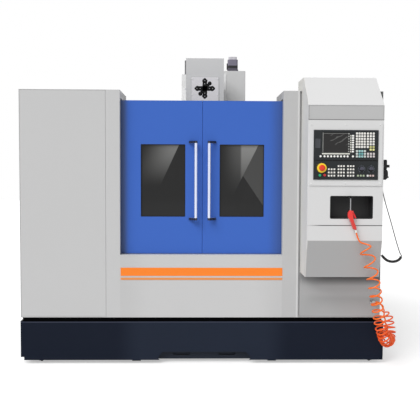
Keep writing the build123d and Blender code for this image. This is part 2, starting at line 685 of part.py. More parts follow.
def tray_points(left, right):
    """The tray's upper line from left to right: a lip on the bed and a slope out to each wall."""
    inner, lip = BED_HALF + 22, BED_HALF - 20
    slope = (TRAY_OUTER_Z - BED_TOP) / (RIGHT_EDGE - SPINDLE_X - inner)
    z = BED_TOP + SHEET
    return ([(left, z + slope * (SPINDLE_X - inner - left)), (SPINDLE_X - inner, z), (SPINDLE_X - lip, z)],
            [(SPINDLE_X + lip, z), (SPINDLE_X + inner, z), (right, z + slope * (right - SPINDLE_X - inner))])


def make_chip_tray():
    """The sloped floor of the work area, with its front wall and two chutes down to the coolant tank."""
    chutes = [(SPINDLE_X + side * CHUTE_SPREAD, behind(TRAY_FRONT + CHUTE_DEPTH)) for side in (-1, 1)]
    wide, deep = CHUTE
    with BuildPart() as tray:
        one, two = tray_points(LEFT_EDGE + SHEET, RIGHT_EDGE - SHEET)
        for start, stop, runs in ((TRAY_FRONT, BED_FRONT, [one + two]), (BED_FRONT, COLUMN_FRONT - SHEET, [one, two])):
            with BuildSketch(facing_front(start)):
                for run in runs:
                    with BuildLine():
                        Polyline(*run, *[(x, z - SHEET) for x, z in reversed(run)], close=True)
                    make_face()
            extrude(amount=start - stop)
        with BuildSketch(facing_front(TRAY_FRONT)):
            patch(LEFT_JAMB, RIGHT_JAMB, BED_TOP, SHELF_TOP)
        extrude(amount=SHEET)
        with BuildSketch(facing_up(BED_TOP)):
            for x, y in chutes:
                patch(x - wide / 2, x + wide / 2, y - deep / 2, y + deep / 2)
        extrude(amount=TANK_LID + SEAT_GAP - BED_TOP)
        with BuildSketch(facing_up(BED_TOP + 2 * SHEET)):
            for x, y in chutes:
                patch(x - wide / 2 + SHEET, x + wide / 2 - SHEET, y - deep / 2 + SHEET, y + deep / 2 - SHEET)
        extrude(amount=TANK_LID - BED_TOP - 2 * SHEET, mode=Mode.SUBTRACT)
    return tray


def make_door_rails():
    """The bar that the doors hang on, and the channel that guides their lower edge."""
    left, right = LEFT_EDGE + SHEET, RIGHT_EDGE - SHEET
    bar = DOOR_FRONT + DOOR_THICK + RAIL_BEHIND
    middle = DOOR_FRONT + DOOR_THICK / 2
    slot, wall = GUIDE_TONGUE / 2 + SLIDE_GAP, 10.0
    with BuildPart() as rails:
        with BuildSketch(facing_right(left)):
            patch(behind(bar), behind(bar + RAIL_DEPTH), RAIL_BOTTOM, RAIL_TOP)
            patch(behind(middle - wall), behind(middle + wall), GUIDE_BOTTOM, GUIDE_TOP)
            patch(behind(middle - slot), behind(middle + slot), GUIDE_BOTTOM + SHEET, GUIDE_TOP, Mode.SUBTRACT)
        extrude(amount=right - left)
    return rails


def door_span(side):
    """X of a door's meeting edge and of its far edge; side is -1 for the left door."""
    near = DOOR_SPLIT + side * DOOR_MEETING / 2
    return near, near + side * DOOR_WIDTH


def window_span(side, lap=0.0):
    near = DOOR_SPLIT + side * (WINDOW_NEAR - lap)
    return sorted((near, near + side * (WINDOW_WIDTH + 2 * lap)))


def make_door(side):
    near, far = door_span(side)
    low, high = sorted((near, far))
    back = DOOR_FRONT + DOOR_THICK
    hook = RAIL_BEHIND + RAIL_DEPTH + SEAT_GAP
    hanger, lip = 70.0, 4.0
    with BuildPart() as door:
        with BuildSketch(facing_front(DOOR_FRONT)):
            patch(low, high, DOOR_BOTTOM, DOOR_TOP)
        extrude(amount=-DOOR_THICK)
        fillet(door.edges().filter_by(Axis.Z).group_by(Axis.Y)[0], 3)
        with BuildSketch(facing_front(DOOR_FRONT - 1)) as opening:
            patch(*window_span(side), WINDOW_BOTTOM, WINDOW_TOP)
            fillet(opening.vertices(), WINDOW_CORNER)
        extrude(amount=-(DOOR_THICK + 2), mode=Mode.SUBTRACT)
        with BuildSketch(facing_front(DOOR_FRONT + GLASS_SETBACK)) as rebate:
            patch(*window_span(side, GLASS_LAP), WINDOW_BOTTOM - GLASS_LAP, WINDOW_TOP + GLASS_LAP)
            fillet(rebate.vertices(), WINDOW_CORNER)
        extrude(amount=-DOOR_THICK, mode=Mode.SUBTRACT)
        for x in (low + 70, high - 70):
            with BuildSketch(facing_right(x - hanger / 2)):
                with BuildLine():
                    Polyline((behind(back), RAIL_TOP - 10), (behind(back + RAIL_BEHIND - SEAT_GAP), RAIL_TOP - 10),
                             (behind(back + RAIL_BEHIND - SEAT_GAP), RAIL_TOP + SEAT_GAP),
                             (behind(back + hook), RAIL_TOP + SEAT_GAP), (behind(back + hook), RAIL_BOTTOM + 5),
                             (behind(back + hook + lip), RAIL_BOTTOM + 5), (behind(back + hook + lip), DOOR_TOP - 8),
                             (behind(back), DOOR_TOP - 8), close=True)
                make_face()
            extrude(amount=hanger)
        with BuildSketch(facing_front(DOOR_FRONT + (DOOR_THICK - GUIDE_TONGUE) / 2)):
            patch(low + 10, high - 10, GUIDE_BOTTOM + SHEET + 2, DOOR_BOTTOM)
        extrude(amount=-GUIDE_TONGUE)
    return door


def make_left_door():
    return make_door(-1)


def make_right_door():
    return make_door(1)


def make_window(side):
    lap = GLASS_LAP - SLIDE_GAP
    with BuildPart() as window:
        with BuildSketch(facing_front(DOOR_FRONT + GLASS_SETBACK)) as pane:
            patch(*window_span(side, lap), WINDOW_BOTTOM - lap, WINDOW_TOP + lap)
            fillet(pane.vertices(), WINDOW_CORNER - SLIDE_GAP)
        extrude(amount=-GLASS_THICK)
    return window


def make_left_window():
    return make_window(-1)


def make_right_window():
    return make_window(1)


def make_handle(side):
    """A round bar between two brackets whose feet stand further from the doors' meeting line."""
    bar_x = DOOR_SPLIT + side * HANDLE_OFFSET
    bar_depth = DOOR_FRONT - HANDLE_STANDOFF
    foot_in, foot_out, neck = 70.0, 95.0, 9.0
    with BuildPart() as handle:
        with BuildSketch(facing_up(HANDLE_BOTTOM)):
            with Locations((bar_x, behind(bar_depth))):
                Circle(HANDLE_RADIUS)
        extrude(amount=HANDLE_TOP - HANDLE_BOTTOM)
        for z in (HANDLE_BOTTOM, HANDLE_TOP - BRACKET_HEIGHT):
            with BuildSketch(facing_up(z)):
                with BuildLine():
                    Polyline((DOOR_SPLIT + side * foot_in, behind(DOOR_FRONT)),
                             (DOOR_SPLIT + side * foot_out, behind(DOOR_FRONT)),
                             (DOOR_SPLIT + side * foot_out, behind(DOOR_FRONT - 10)),
                             (bar_x + side * neck, behind(bar_depth - neck)),
                             (bar_x - side * neck / 2, behind(bar_depth + neck)),
                             (DOOR_SPLIT + side * foot_in, behind(DOOR_FRONT - 10)), close=True)
                make_face()
            extrude(amount=BRACKET_HEIGHT)
    return handle


def make_left_handle():
    return make_handle(-1)


def make_right_handle():
    return make_handle(1)


def make_saddle():
    y = behind(SPINDLE_DEPTH)
    bottom = BED_TOP + RAIL_SEAT + RAIL_HEIGHT + SEAT_GAP + BLOCK_CAP
    trough, end_wall, motor = 45.0, 50.0, 100.0
    with BuildPart() as saddle:
        with BuildSketch(facing_up(bottom)) as plan:
            patch(SPINDLE_X - SADDLE_HALF_X, SPINDLE_X + SADDLE_HALF_X, y - SADDLE_HALF_Y, y + SADDLE_HALF_Y)
            chamfer(plan.vertices(), 12)
        extrude(amount=SADDLE_TOP - bottom)
        with BuildSketch(facing_up(SADDLE_TOP)):
            patch(SPINDLE_X - SADDLE_HALF_X + end_wall, SPINDLE_X + SADDLE_HALF_X - end_wall,
                  y - trough, y + trough)
        extrude(amount=X_SCREW_Z - SCREW_RADIUS - 8 - SADDLE_TOP, mode=Mode.SUBTRACT)
        with BuildSketch(facing_right(SPINDLE_X - SADDLE_HALF_X - 1)):
            with Locations((y, X_SCREW_Z)):
                Circle(SCREW_RADIUS + SEAT_GAP)
        extrude(amount=2 * SADDLE_HALF_X + 2, mode=Mode.SUBTRACT)
        for side in (-1, 1):
            with BuildSketch(facing_right(SPINDLE_X - SADDLE_HALF_X)):
                with Locations((y + side * X_RAIL_SPREAD, SADDLE_TOP)):
                    rail_section()
            extrude(amount=2 * SADDLE_HALF_X)
            for depth in (-1, 1):
                middle = SPINDLE_DEPTH + depth * (SADDLE_HALF_Y - BLOCK_LENGTH / 2)
                with BuildSketch(facing_front(middle - BLOCK_LENGTH / 2)):
                    with Locations((SPINDLE_X + side * Y_RAIL_SPREAD, BED_TOP + RAIL_SEAT)):
                        block_section()
                extrude(amount=-BLOCK_LENGTH)
        with BuildSketch(facing_front(SPINDLE_DEPTH - 40)):
            patch(SPINDLE_X - 55, SPINDLE_X + 55, Y_SCREW_Z - 30, bottom)
            with Locations((SPINDLE_X, Y_SCREW_Z)):
                Circle(SCREW_RADIUS + SEAT_GAP, mode=Mode.SUBTRACT)
        extrude(amount=-80)
        with BuildSketch(facing_right(SPINDLE_X + SADDLE_HALF_X)) as motor_end:
            with Locations((y, X_SCREW_Z)):
                Rectangle(motor, motor)
            fillet(motor_end.vertices(), 12)
            with Locations((y, X_SCREW_Z)):
                Circle(SCREW_RADIUS + SEAT_GAP, mode=Mode.SUBTRACT)
        extrude(amount=40)
        with BuildSketch(facing_right(SPINDLE_X + SADDLE_HALF_X + 40)) as motor_body:
            with Locations((y, X_SCREW_Z)):
                Rectangle(motor - 10, motor - 10)
            fillet(motor_body.vertices(), 12)
        extrude(amount=130)
    return saddle


def make_table():
    y = behind(SPINDLE_DEPTH)
    bottom = TABLE_TOP - TABLE_THICK
    lip, gutter = 16.0, 12.0
    with BuildPart() as table:
        with BuildSketch(facing_right(SPINDLE_X - TABLE_HALF_X)) as section:
            patch(y - TABLE_HALF_Y, y + TABLE_HALF_Y, bottom + 30, TABLE_TOP)
            patch(y - TABLE_HALF_Y + 40, y + TABLE_HALF_Y - 40, bottom, bottom + 30)
            for index in range(T_SLOT_COUNT):
                at = y + (index - (T_SLOT_COUNT - 1) / 2) * T_SLOT_PITCH
                patch(at - T_SLOT_WIDTH / 2, at + T_SLOT_WIDTH / 2, TABLE_TOP - 30, TABLE_TOP, Mode.SUBTRACT)
                patch(at - T_SLOT_WIDE / 2, at + T_SLOT_WIDE / 2, TABLE_TOP - 32, TABLE_TOP - 18, Mode.SUBTRACT)
            for side in (-1, 1):
                patch(*sorted((y + side * (TABLE_HALF_Y - lip), y + side * (TABLE_HALF_Y - lip / 3))),
                      TABLE_TOP - gutter, TABLE_TOP, Mode.SUBTRACT)
        extrude(amount=2 * TABLE_HALF_X)
        for side in (-1, 1):
            for end in (-1, 1):
                at = SPINDLE_X + end * (TABLE_HALF_X - BLOCK_LENGTH) - BLOCK_LENGTH / 2
                with BuildSketch(facing_right(at)):
                    with Locations((y + side * X_RAIL_SPREAD, SADDLE_TOP)):
                        block_section()
                extrude(amount=BLOCK_LENGTH)
        with BuildSketch(facing_right(SPINDLE_X - 40)):
            patch(y - 36, y + 36, X_SCREW_Z - SCREW_RADIUS - 5, bottom + 5)
            with Locations((y, X_SCREW_Z)):
                Circle(SCREW_RADIUS + SEAT_GAP, mode=Mode.SUBTRACT)
        extrude(amount=80)
    return table


def make_table_wings():
    """The fixed way covers on both ends of the table."""
    y = behind(SPINDLE_DEPTH)
    with BuildPart() as wings:
        for side in (-1, 1):
            end = SPINDLE_X + side * TABLE_HALF_X
            with BuildSketch(facing_right(end)):
                patch(y - WING_HALF, y + WING_HALF, WING_SKIRT, WING_TOP)
                patch(y - WING_HALF + SHEET, y + WING_HALF - SHEET, WING_SKIRT, WING_TOP - SHEET, Mode.SUBTRACT)
            extrude(amount=side * WING_LENGTH)
            with BuildSketch(facing_right(end)):
                patch(y - WING_HALF, y + WING_HALF, WING_TOP - SHEET, TABLE_TOP - 40)
            extrude(amount=side * SHEET)
    return wings


def cover_section(step):
    """The section of a Y cover: an inverted channel, smaller by one step for each length inside it."""
    half, top = COVER_HALF - step * COVER_STEP, COVER_TOP - step * COVER_STEP
    patch(SPINDLE_X - half, SPINDLE_X + half, COVER_SKIRT, top)
    patch(SPINDLE_X - half + SHEET, SPINDLE_X + half - SHEET, COVER_SKIRT, top - SHEET, Mode.SUBTRACT)


def z_cover_section(step):
    """The section of a Z cover in plan: a channel open to the column."""
    half, front = Z_COVER_HALF - step * COVER_STEP, behind(Z_COVER_FRONT + step * COVER_STEP)
    back = behind(COLUMN_FRONT - SHEET - 2)
    patch(SPINDLE_X - half, SPINDLE_X + half, front, back)
    patch(SPINDLE_X - half + SHEET, SPINDLE_X + half - SHEET, front + SHEET, back, Mode.SUBTRACT)


def make_saddle_covers():
    front_edge, back_edge = SPINDLE_DEPTH - SADDLE_HALF_Y, SPINDLE_DEPTH + SADDLE_HALF_Y
    with BuildPart() as covers:
        for edge, length in ((front_edge, FRONT_COVER_LENGTH), (back_edge, -REAR_COVER_LENGTH)):
            with BuildSketch(facing_front(edge)):
                cover_section(0)
            extrude(amount=length)
            with BuildSketch(facing_front(edge)):
                patch(SPINDLE_X - COVER_HALF, SPINDLE_X + COVER_HALF, SADDLE_TOP - 90, COVER_TOP)
            extrude(amount=math.copysign(SHEET, length))
    return covers


def make_y_front_cover_mid():
    fixed_mid = TRAY_FRONT + FRONT_COVER_LENGTH / 2
    moving_mid = SPINDLE_DEPTH - SADDLE_HALF_Y - FRONT_COVER_LENGTH / 2
    with BuildPart() as cover:
        with BuildSketch(facing_front((fixed_mid + moving_mid - FRONT_COVER_LENGTH) / 2)):
            cover_section(1)
        extrude(amount=-FRONT_COVER_LENGTH)
    return cover


def make_y_rear_cover_mid():
    fixed_mid = rear_cover_end() - REAR_COVER_LENGTH / 2
    moving_mid = SPINDLE_DEPTH + SADDLE_HALF_Y + REAR_COVER_LENGTH / 2
    with BuildPart() as cover:
        with BuildSketch(facing_front((fixed_mid + moving_mid - REAR_COVER_LENGTH) / 2)):
            cover_section(1)
        extrude(amount=-REAR_COVER_LENGTH)
    return cover


def rear_cover_end():
    """The depth of the fixed Z cover's front face, which the rear Y cover stands against."""
    return Z_COVER_FRONT + 2 * COVER_STEP


def make_z_cover_mid():
    fixed_mid = Z_COVER_FIXED[1] - Z_COVER_LENGTH / 2
    moving_mid = CARRIAGE_BOTTOM - Z_COVER_LENGTH / 2
    with BuildPart() as cover:
        with BuildSketch(facing_up((fixed_mid + moving_mid - Z_COVER_LENGTH) / 2)):
            z_cover_section(1)
        extrude(amount=Z_COVER_LENGTH)
    return cover


def make_fixed_way_covers():
    with BuildPart() as covers:
        with BuildSketch(facing_front(TRAY_FRONT)):
            cover_section(2)
        extrude(amount=-FRONT_COVER_LENGTH)
        with BuildSketch(facing_front(rear_cover_end())):
            cover_section(2)
        extrude(amount=REAR_COVER_LENGTH)
        with BuildSketch(facing_up(Z_COVER_FIXED[0])):
            z_cover_section(2)
            for side in (-1, 1):
                edge = SPINDLE_X + side * (Z_COVER_HALF - 2 * COVER_STEP)
                patch(*sorted((edge, edge - side * SHEET)), behind(COLUMN_FRONT - SHEET - 3), behind(COLUMN_FRONT))
        extrude(amount=Z_COVER_FIXED[1] - Z_COVER_FIXED[0])
    return covers


def make_spindle_head():
    """The casting: nose block, body, carriage plate on four blocks, and the motor under the cover."""
    x, y = SPINDLE_X, behind(SPINDLE_DEPTH)
    with BuildPart() as head:
        with BuildSketch(facing_right(x - HEAD_HALF)):
            with BuildLine():
                Polyline((behind(HEAD_FRONT), HEAD_BOTTOM), (behind(HEAD_FRONT), SHOULDER_Z),
                         (behind(CARRIAGE_FRONT), SHOULDER_Z), (behind(CARRIAGE_FRONT), CARRIAGE_BOTTOM),
                         (behind(SPINDLE_DEPTH + 160), HEAD_BOTTOM), close=True)
            make_face()
        extrude(amount=2 * HEAD_HALF)
        fillet(head.edges().filter_by(Axis.Z).group_by(Axis.Y)[0], 40)
        with BuildSketch(facing_right(x - HEAD_HALF + 20)):
            with BuildLine():
                Polyline((behind(SPINDLE_DEPTH + 130), SHOULDER_Z), (behind(CARRIAGE_FRONT), SHOULDER_Z),
                         (behind(CARRIAGE_FRONT), CARRIAGE_TOP), close=True)
            make_face()
        extrude(amount=2 * HEAD_HALF - 40)
        with BuildSketch(facing_front(CARRIAGE_FRONT)):
            patch(x - CARRIAGE_HALF, x + CARRIAGE_HALF, CARRIAGE_BOTTOM, CARRIAGE_TOP)
        extrude(amount=-(COLUMN_FRONT - RAIL_HEIGHT - SEAT_GAP - BLOCK_CAP - CARRIAGE_FRONT))
        for side in (-1, 1):
            for z in (CARRIAGE_BOTTOM + 10, CARRIAGE_TOP - 10 - BLOCK_LENGTH):
                with BuildSketch(Plane(origin=(x + side * Z_RAIL_SPREAD, behind(COLUMN_FRONT), z),
                                       x_dir=(-1, 0, 0), z_dir=(0, 0, 1))):
                    block_section()
                extrude(amount=BLOCK_LENGTH)
        nut_depth = Z_SCREW_DEPTH + 22
        with BuildSketch(facing_up((CARRIAGE_BOTTOM + CARRIAGE_TOP) / 2 - 40)):
            patch(x - 45, x + 45, behind(CARRIAGE_FRONT + 20), behind(nut_depth + 24))
            with Locations((x, behind(nut_depth))):
                Circle(SCREW_RADIUS + SEAT_GAP, mode=Mode.SUBTRACT)
        extrude(amount=80)
        with Locations((x, y, NOSE_Z)):
            Cylinder(88, HEAD_BOTTOM - NOSE_Z, align=(Align.CENTER, Align.CENTER, Align.MIN))
        with Locations((x, y, SHOULDER_Z)):
            Cylinder(105, 330, align=(Align.CENTER, Align.CENTER, Align.MIN))
        with Locations((x, y, NOSE_Z - 1)):
            Cylinder(SPINDLE_RADIUS + SEAT_GAP, 281, align=(Align.CENTER, Align.CENTER, Align.MIN),
                     mode=Mode.SUBTRACT)
        with BuildSketch(facing_up(NOSE_Z - 24)):
            with Locations(*[(x + dx, y - 76) for dx in (-34, 34)]):
                Circle(7)
        extrude(amount=30)
    return head


def make_head_covers():
    """The sheet box over the spindle motor, and the upper length of the Z cover below the carriage."""
    x, half = SPINDLE_X, HEAD_HALF
    with BuildPart() as covers:
        with BuildSketch(facing_up(SHOULDER_Z)):
            patch(x - half, x + half, behind(HEAD_FRONT - 5), behind(HEAD_COVER_BACK))
            patch(x - half + SHEET, x + half - SHEET, behind(HEAD_FRONT - 5) + SHEET,
                  behind(HEAD_COVER_BACK) - SHEET, Mode.SUBTRACT)
        extrude(amount=HEAD_COVER_TOP - SHOULDER_Z)
        with BuildSketch(facing_up(HEAD_COVER_TOP - SHEET)):
            patch(x - half, x + half, behind(HEAD_FRONT - 5), behind(HEAD_COVER_BACK))
        extrude(amount=SHEET)
        with BuildSketch(facing_front(HEAD_COVER_BACK - 2 * SHEET)):
            patch(x - half + 10, x + half - 10, SHOULDER_Z - 1, CARRIAGE_TOP + 20)
        extrude(amount=-3 * SHEET, mode=Mode.SUBTRACT)
        with BuildSketch(facing_up(CARRIAGE_BOTTOM)):
            z_cover_section(0)
        extrude(amount=-Z_COVER_LENGTH)
        with BuildSketch(facing_up(CARRIAGE_BOTTOM - SHEET)):
            patch(x - Z_COVER_HALF, x + Z_COVER_HALF, behind(Z_COVER_FRONT), behind(COLUMN_FRONT - RAIL_HEIGHT - 10))
        extrude(amount=SHEET)
    return covers


def make_axis_sign_plate():
    with BuildPart() as plate:
        with BuildSketch(facing_front(HEAD_FRONT - 5)) as face:
            patch(SPINDLE_X - SIGN_WIDTH / 2, SPINDLE_X + SIGN_WIDTH / 2, SIGN_TOP - SIGN_WIDTH, SIGN_TOP)
            fillet(face.vertices(), 6)
        extrude(amount=SHEET)
    return plate


def make_spindle():
    """The spindle with its tapered socket and two drive keys."""
    x, y = SPINDLE_X, behind(SPINDLE_DEPTH)
    mouth, deep, length = 22.2, 13.0, 260.0
    with BuildPart() as spindle:
        with BuildSketch(Plane(origin=(x, y, 0), x_dir=(1, 0, 0), z_dir=(0, -1, 0))):
            with BuildLine():
                Polyline((mouth, NOSE_Z - 16), (62, NOSE_Z - 16), (62, NOSE_Z - 2), (SPINDLE_RADIUS, NOSE_Z - 2),
                         (SPINDLE_RADIUS, NOSE_Z - 16 + length), (9, NOSE_Z - 16 + length), (9, NOSE_Z + 52),
                         (deep, NOSE_Z + 50), close=True)
            make_face()
        revolve(axis=Axis((x, y, 0), (0, 0, 1)))
        with BuildSketch(facing_up(NOSE_Z - 16)):
            for side in (-1, 1):
                patch(*sorted((x + side * 33, x + side * 50)), y - 8, y + 8)
        extrude(amount=-9)
    return spindle


def make_magazine_carriage():
    """The carriage on the guide rods, with the index drive and the cover over the tool disc below it."""
    x, y = MAGAZINE_X, behind(SPINDLE_DEPTH)
    half_y, low, shelf = 125.0, DISC_BOTTOM + DISC_THICK + 90, 30.0
    block_low = GUIDE_ROD_Z - 45
    with BuildPart() as carriage:
        with BuildSketch(facing_right(CARRIAGE_LEFT)) as block:
            patch(y - half_y, y + half_y, block_low, GUIDE_ROD_Z + 45)
            chamfer(block.vertices(), 12)
        extrude(amount=CARRIAGE_WIDTH)
        with BuildSketch(facing_right(CARRIAGE_LEFT - 1)):
            for side in (-1, 1):
                with Locations((y + side * GUIDE_ROD_SPREAD, GUIDE_ROD_Z)):
                    Circle(GUIDE_ROD_RADIUS + SEAT_GAP)
        extrude(amount=CARRIAGE_WIDTH + 2, mode=Mode.SUBTRACT)
        with BuildSketch(facing_up(block_low - shelf)) as plate:
            patch(CARRIAGE_LEFT, x + 90, y - 100, y + 100)
            fillet(plate.vertices().group_by(Axis.X)[-1], 25)
        extrude(amount=shelf - 12)
        with BuildSketch(facing_up(block_low - shelf)) as plate_root:
            patch(CARRIAGE_LEFT, CARRIAGE_LEFT + CARRIAGE_WIDTH, y - 100, y + 100)
        extrude(amount=shelf)
        with BuildSketch(facing_up(low)) as gearbox:
            patch(x - 80, x + 80, y - 80, y + 80)
            fillet(gearbox.vertices(), 25)
        extrude(amount=block_low - shelf - low)
        with Locations((x, y, low)):
            Cone(205, 180, 20, align=(Align.CENTER, Align.CENTER, Align.MIN))
            Cylinder(SHAFT_RADIUS, low - DISC_BOTTOM - 4, align=(Align.CENTER, Align.CENTER, Align.MAX))
        with Locations((x, y - 75, low + 72)):
            Cylinder(INDEX_MOTOR[0], INDEX_MOTOR[1], rotation=(90, 0, 0), align=(Align.CENTER, Align.CENTER, Align.MIN))
    return carriage


def make_tool_carousel():
    """The tool disc with open pockets round its rim, and the taper holders that hang in some of them."""
    x, y = MAGAZINE_X, behind(SPINDLE_DEPTH)
    with BuildPart() as carousel:
        with BuildSketch(Plane(origin=(x, y, DISC_BOTTOM), z_dir=(0, 0, 1))):
            Circle(DISC_RADIUS)
            Circle(SHAFT_RADIUS + SEAT_GAP, mode=Mode.SUBTRACT)
            with PolarLocations(POCKET_RING, POCKET_COUNT):
                Circle(POCKET_RADIUS, mode=Mode.SUBTRACT)
            with PolarLocations(POCKET_RING + POCKET_RADIUS, POCKET_COUNT):
                Rectangle(2 * POCKET_RADIUS, 1.5 * POCKET_RADIUS, mode=Mode.SUBTRACT)
        extrude(amount=DISC_THICK)
        with BuildSketch(Plane(origin=(x, y, DISC_BOTTOM + DISC_THICK), z_dir=(0, 0, 1))):
            Circle(HUB_RADIUS)
            Circle(SHAFT_RADIUS + SEAT_GAP, mode=Mode.SUBTRACT)
        extrude(amount=88)
        with BuildSketch(Plane(origin=(x, y, DISC_BOTTOM), z_dir=(0, 0, 1))):
            Circle(HUB_RADIUS)
        extrude(amount=-SHEET)
    return carousel


def make_tool_holders():
    """Taper holders, each with its flange resting on a pocket's rim."""
    x, y = MAGAZINE_X, behind(SPINDLE_DEPTH)
    seat = DISC_BOTTOM + DISC_THICK
    with BuildPart() as holders:
        for index in (1, 3, 4, 6, 9, 12, 14):
            angle = math.radians(360 / POCKET_COUNT * index)
            at = (x + POCKET_RING * math.cos(angle), y + POCKET_RING * math.sin(angle))
            with BuildSketch(Plane(origin=(*at, 0), x_dir=(1, 0, 0), z_dir=(0, -1, 0))):
                with BuildLine():
                    Polyline((0, seat - 62), (20, seat - 62), (20, seat - 20), (26, seat - 18), (26, seat),
                             (31.5, seat), (31.5, seat + 9), (22, seat + 9), (13, seat + 74), (8, seat + 74),
                             (8, seat + 96), (0, seat + 96), close=True)
                make_face()
            revolve(axis=Axis((*at, 0), (0, 0, 1)))
    return holders


def make_screw(start, direction, length, journal):
    """A ball screw from its start point, with thinner journals."""
    with BuildPart() as screw:
        with BuildSketch(Plane(origin=start, z_dir=direction)):
            Circle(SCREW_RADIUS)
        extrude(amount=length)
        with BuildSketch(Plane(origin=start, z_dir=direction)):
            Circle(SCREW_RADIUS - 4)
        extrude(amount=-journal)
    return screw


def make_x_screw():
    return make_screw((SPINDLE_X - SADDLE_HALF_X + 6, behind(SPINDLE_DEPTH), X_SCREW_Z), (1, 0, 0),
                      2 * SADDLE_HALF_X - 6 + 38, 4)


def make_y_screw():
    return make_screw((SPINDLE_X, behind(BED_FRONT - 28), Y_SCREW_Z), (0, 1, 0), COLUMN_FRONT - BED_FRONT - 40, 1)


def make_z_screw():
    return make_screw((SPINDLE_X, behind(Z_SCREW_DEPTH + 22), 1010), (0, 0, 1), COLUMN_TOP - 1010 + 20, 6)


def make_z_drive_box():
    """The sheet housing of the Z axis belt drive on the column's right side."""
    with BuildPart() as box:
        with BuildSketch(facing_up(DRIVE_BOX_Z[0])) as plan:
            patch(SPINDLE_X + COLUMN_HALF, DRIVE_BOX[1], behind(DRIVE_BOX_FRONT),
                  behind(DRIVE_BOX_FRONT + DRIVE_BOX_LENGTH))
            fillet(plan.vertices().group_by(Axis.X)[-1], 6)
        extrude(amount=DRIVE_BOX_Z[1] - DRIVE_BOX_Z[0])
        with BuildSketch(facing_up(COLUMN_TOP)):
            patch(SPINDLE_X - 60, SPINDLE_X + COLUMN_HALF + 1, behind(DRIVE_BOX_FRONT + 8),
                  behind(DRIVE_BOX_FRONT + DRIVE_BOX_LENGTH))
        extrude(amount=DRIVE_BOX_Z[1] - COLUMN_TOP)
        with Locations((SPINDLE_X, behind(Z_SCREW_DEPTH + 22), COLUMN_TOP - 1)):
            Cylinder(SCREW_RADIUS + SEAT_GAP, 24, align=(Align.CENTER, Align.CENTER, Align.MIN),
                     mode=Mode.SUBTRACT)
    return box


def make_z_motor():
    """The servo motor standing on the drive box."""
    x, y = Z_MOTOR_AT[0], behind(Z_MOTOR_AT[1])
    half = Z_MOTOR_SIZE / 2
    with BuildPart() as motor:
        with BuildSketch(facing_up(DRIVE_BOX_Z[1])) as flange:
            patch(x - half, x + half, y - half, y + half)
            fillet(flange.vertices(), 8)
        extrude(amount=14)
        with BuildSketch(facing_up(DRIVE_BOX_Z[1] + 14)) as body:
            patch(x - half + 4, x + half - 4, y - half + 4, y + half - 4)
            fillet(body.vertices(), 16)
        extrude(amount=Z_MOTOR_TOP - DRIVE_BOX_Z[1] - 40)
        with BuildSketch(facing_up(Z_MOTOR_TOP - 26)) as encoder:
            patch(x - half + 12, x + half - 12, y - half + 12, y + half - 12)
            fillet(encoder.vertices(), 16)
        extrude(amount=26)
        with BuildSketch(facing_front(Z_MOTOR_AT[1] + half - 4)):
            patch(x - 20, x + 20, DRIVE_BOX_Z[1] + 40, DRIVE_BOX_Z[1] + 80)
        extrude(amount=-26)
    return motor


def make_cable_channel():
    """The black channel that stands on the column and guides the head's cables."""
    left, right, depth = -158.0, -136.0, 1430.0
    with BuildPart() as channel:
        with BuildSketch(facing_up(COLUMN_TOP)):
            patch(left, right, behind(depth), behind(depth + 90))
            patch(left + SHEET, right, behind(depth) + SHEET, behind(depth + 90) - SHEET, Mode.SUBTRACT)
        extrude(amount=130)
        with BuildSketch(facing_up(COLUMN_TOP)):
            patch(left, right + 30, behind(depth), behind(depth + 90))
        extrude(amount=SHEET)
    return channel


def make_electrical_cabinet():
    left, right = SPINDLE_X - CABINET_HALF, SPINDLE_X + CABINET_HALF
    with BuildPart() as cabinet:
        with BuildSketch(facing_front(COLUMN_BACK)):
            patch(left, right, CABINET_BOTTOM, CABINET_TOP)
        extrude(amount=-(CABINET_BACK - COLUMN_BACK))
        with BuildSketch(facing_front(COLUMN_BACK + SHEET)):
            patch(left + SHEET, right - SHEET, CABINET_BOTTOM + SHEET, CABINET_TOP - SHEET)
        extrude(amount=-(CABINET_BACK - COLUMN_BACK), mode=Mode.SUBTRACT)
        plate = COLUMN_BACK + SHEET
        with BuildSketch(facing_front(plate)):
            for index, width in enumerate((130, 130, 130, 200)):
                x = left + 110 + index * 170
                patch(x, x + width, 1280, 1640)
            patch(left + 110, right - 110, 1080, 1160)
            patch(left + 110, right - 110, 860, 900)
        extrude(amount=-150)
    return cabinet


def make_cabinet_door():
    left, right = SPINDLE_X - CABINET_HALF, SPINDLE_X + CABINET_HALF
    with BuildPart() as door:
        with BuildSketch(facing_front(CABINET_BACK + SEAT_GAP)) as face:
            patch(left, right, CABINET_BOTTOM, CABINET_TOP)
        extrude(amount=-(CABINET_DOOR - SEAT_GAP))
        with BuildSketch(facing_front(CABINET_BACK)):
            patch(left + 12, right - 12, CABINET_BOTTOM + 12, CABINET_TOP - 12)
        extrude(amount=-(CABINET_DOOR - SHEET), mode=Mode.SUBTRACT)
        with BuildSketch(facing_front(CABINET_BACK + CABINET_DOOR + 1)) as latch:
            with Locations((left + 60, (CABINET_BOTTOM + CABINET_TOP) / 2)):
                SlotOverall(110, 34, rotation=90)
        extrude(amount=3, mode=Mode.SUBTRACT)
        with BuildSketch(facing_front(CABINET_BACK + CABINET_DOOR - 1)) as louvres:
            with Locations(*[(SPINDLE_X + dx, 760 + 26 * row) for dx in (-160, 160) for row in range(6)]):
                SlotOverall(180, 10)
        extrude(amount=6, both=True, mode=Mode.SUBTRACT)
    return door


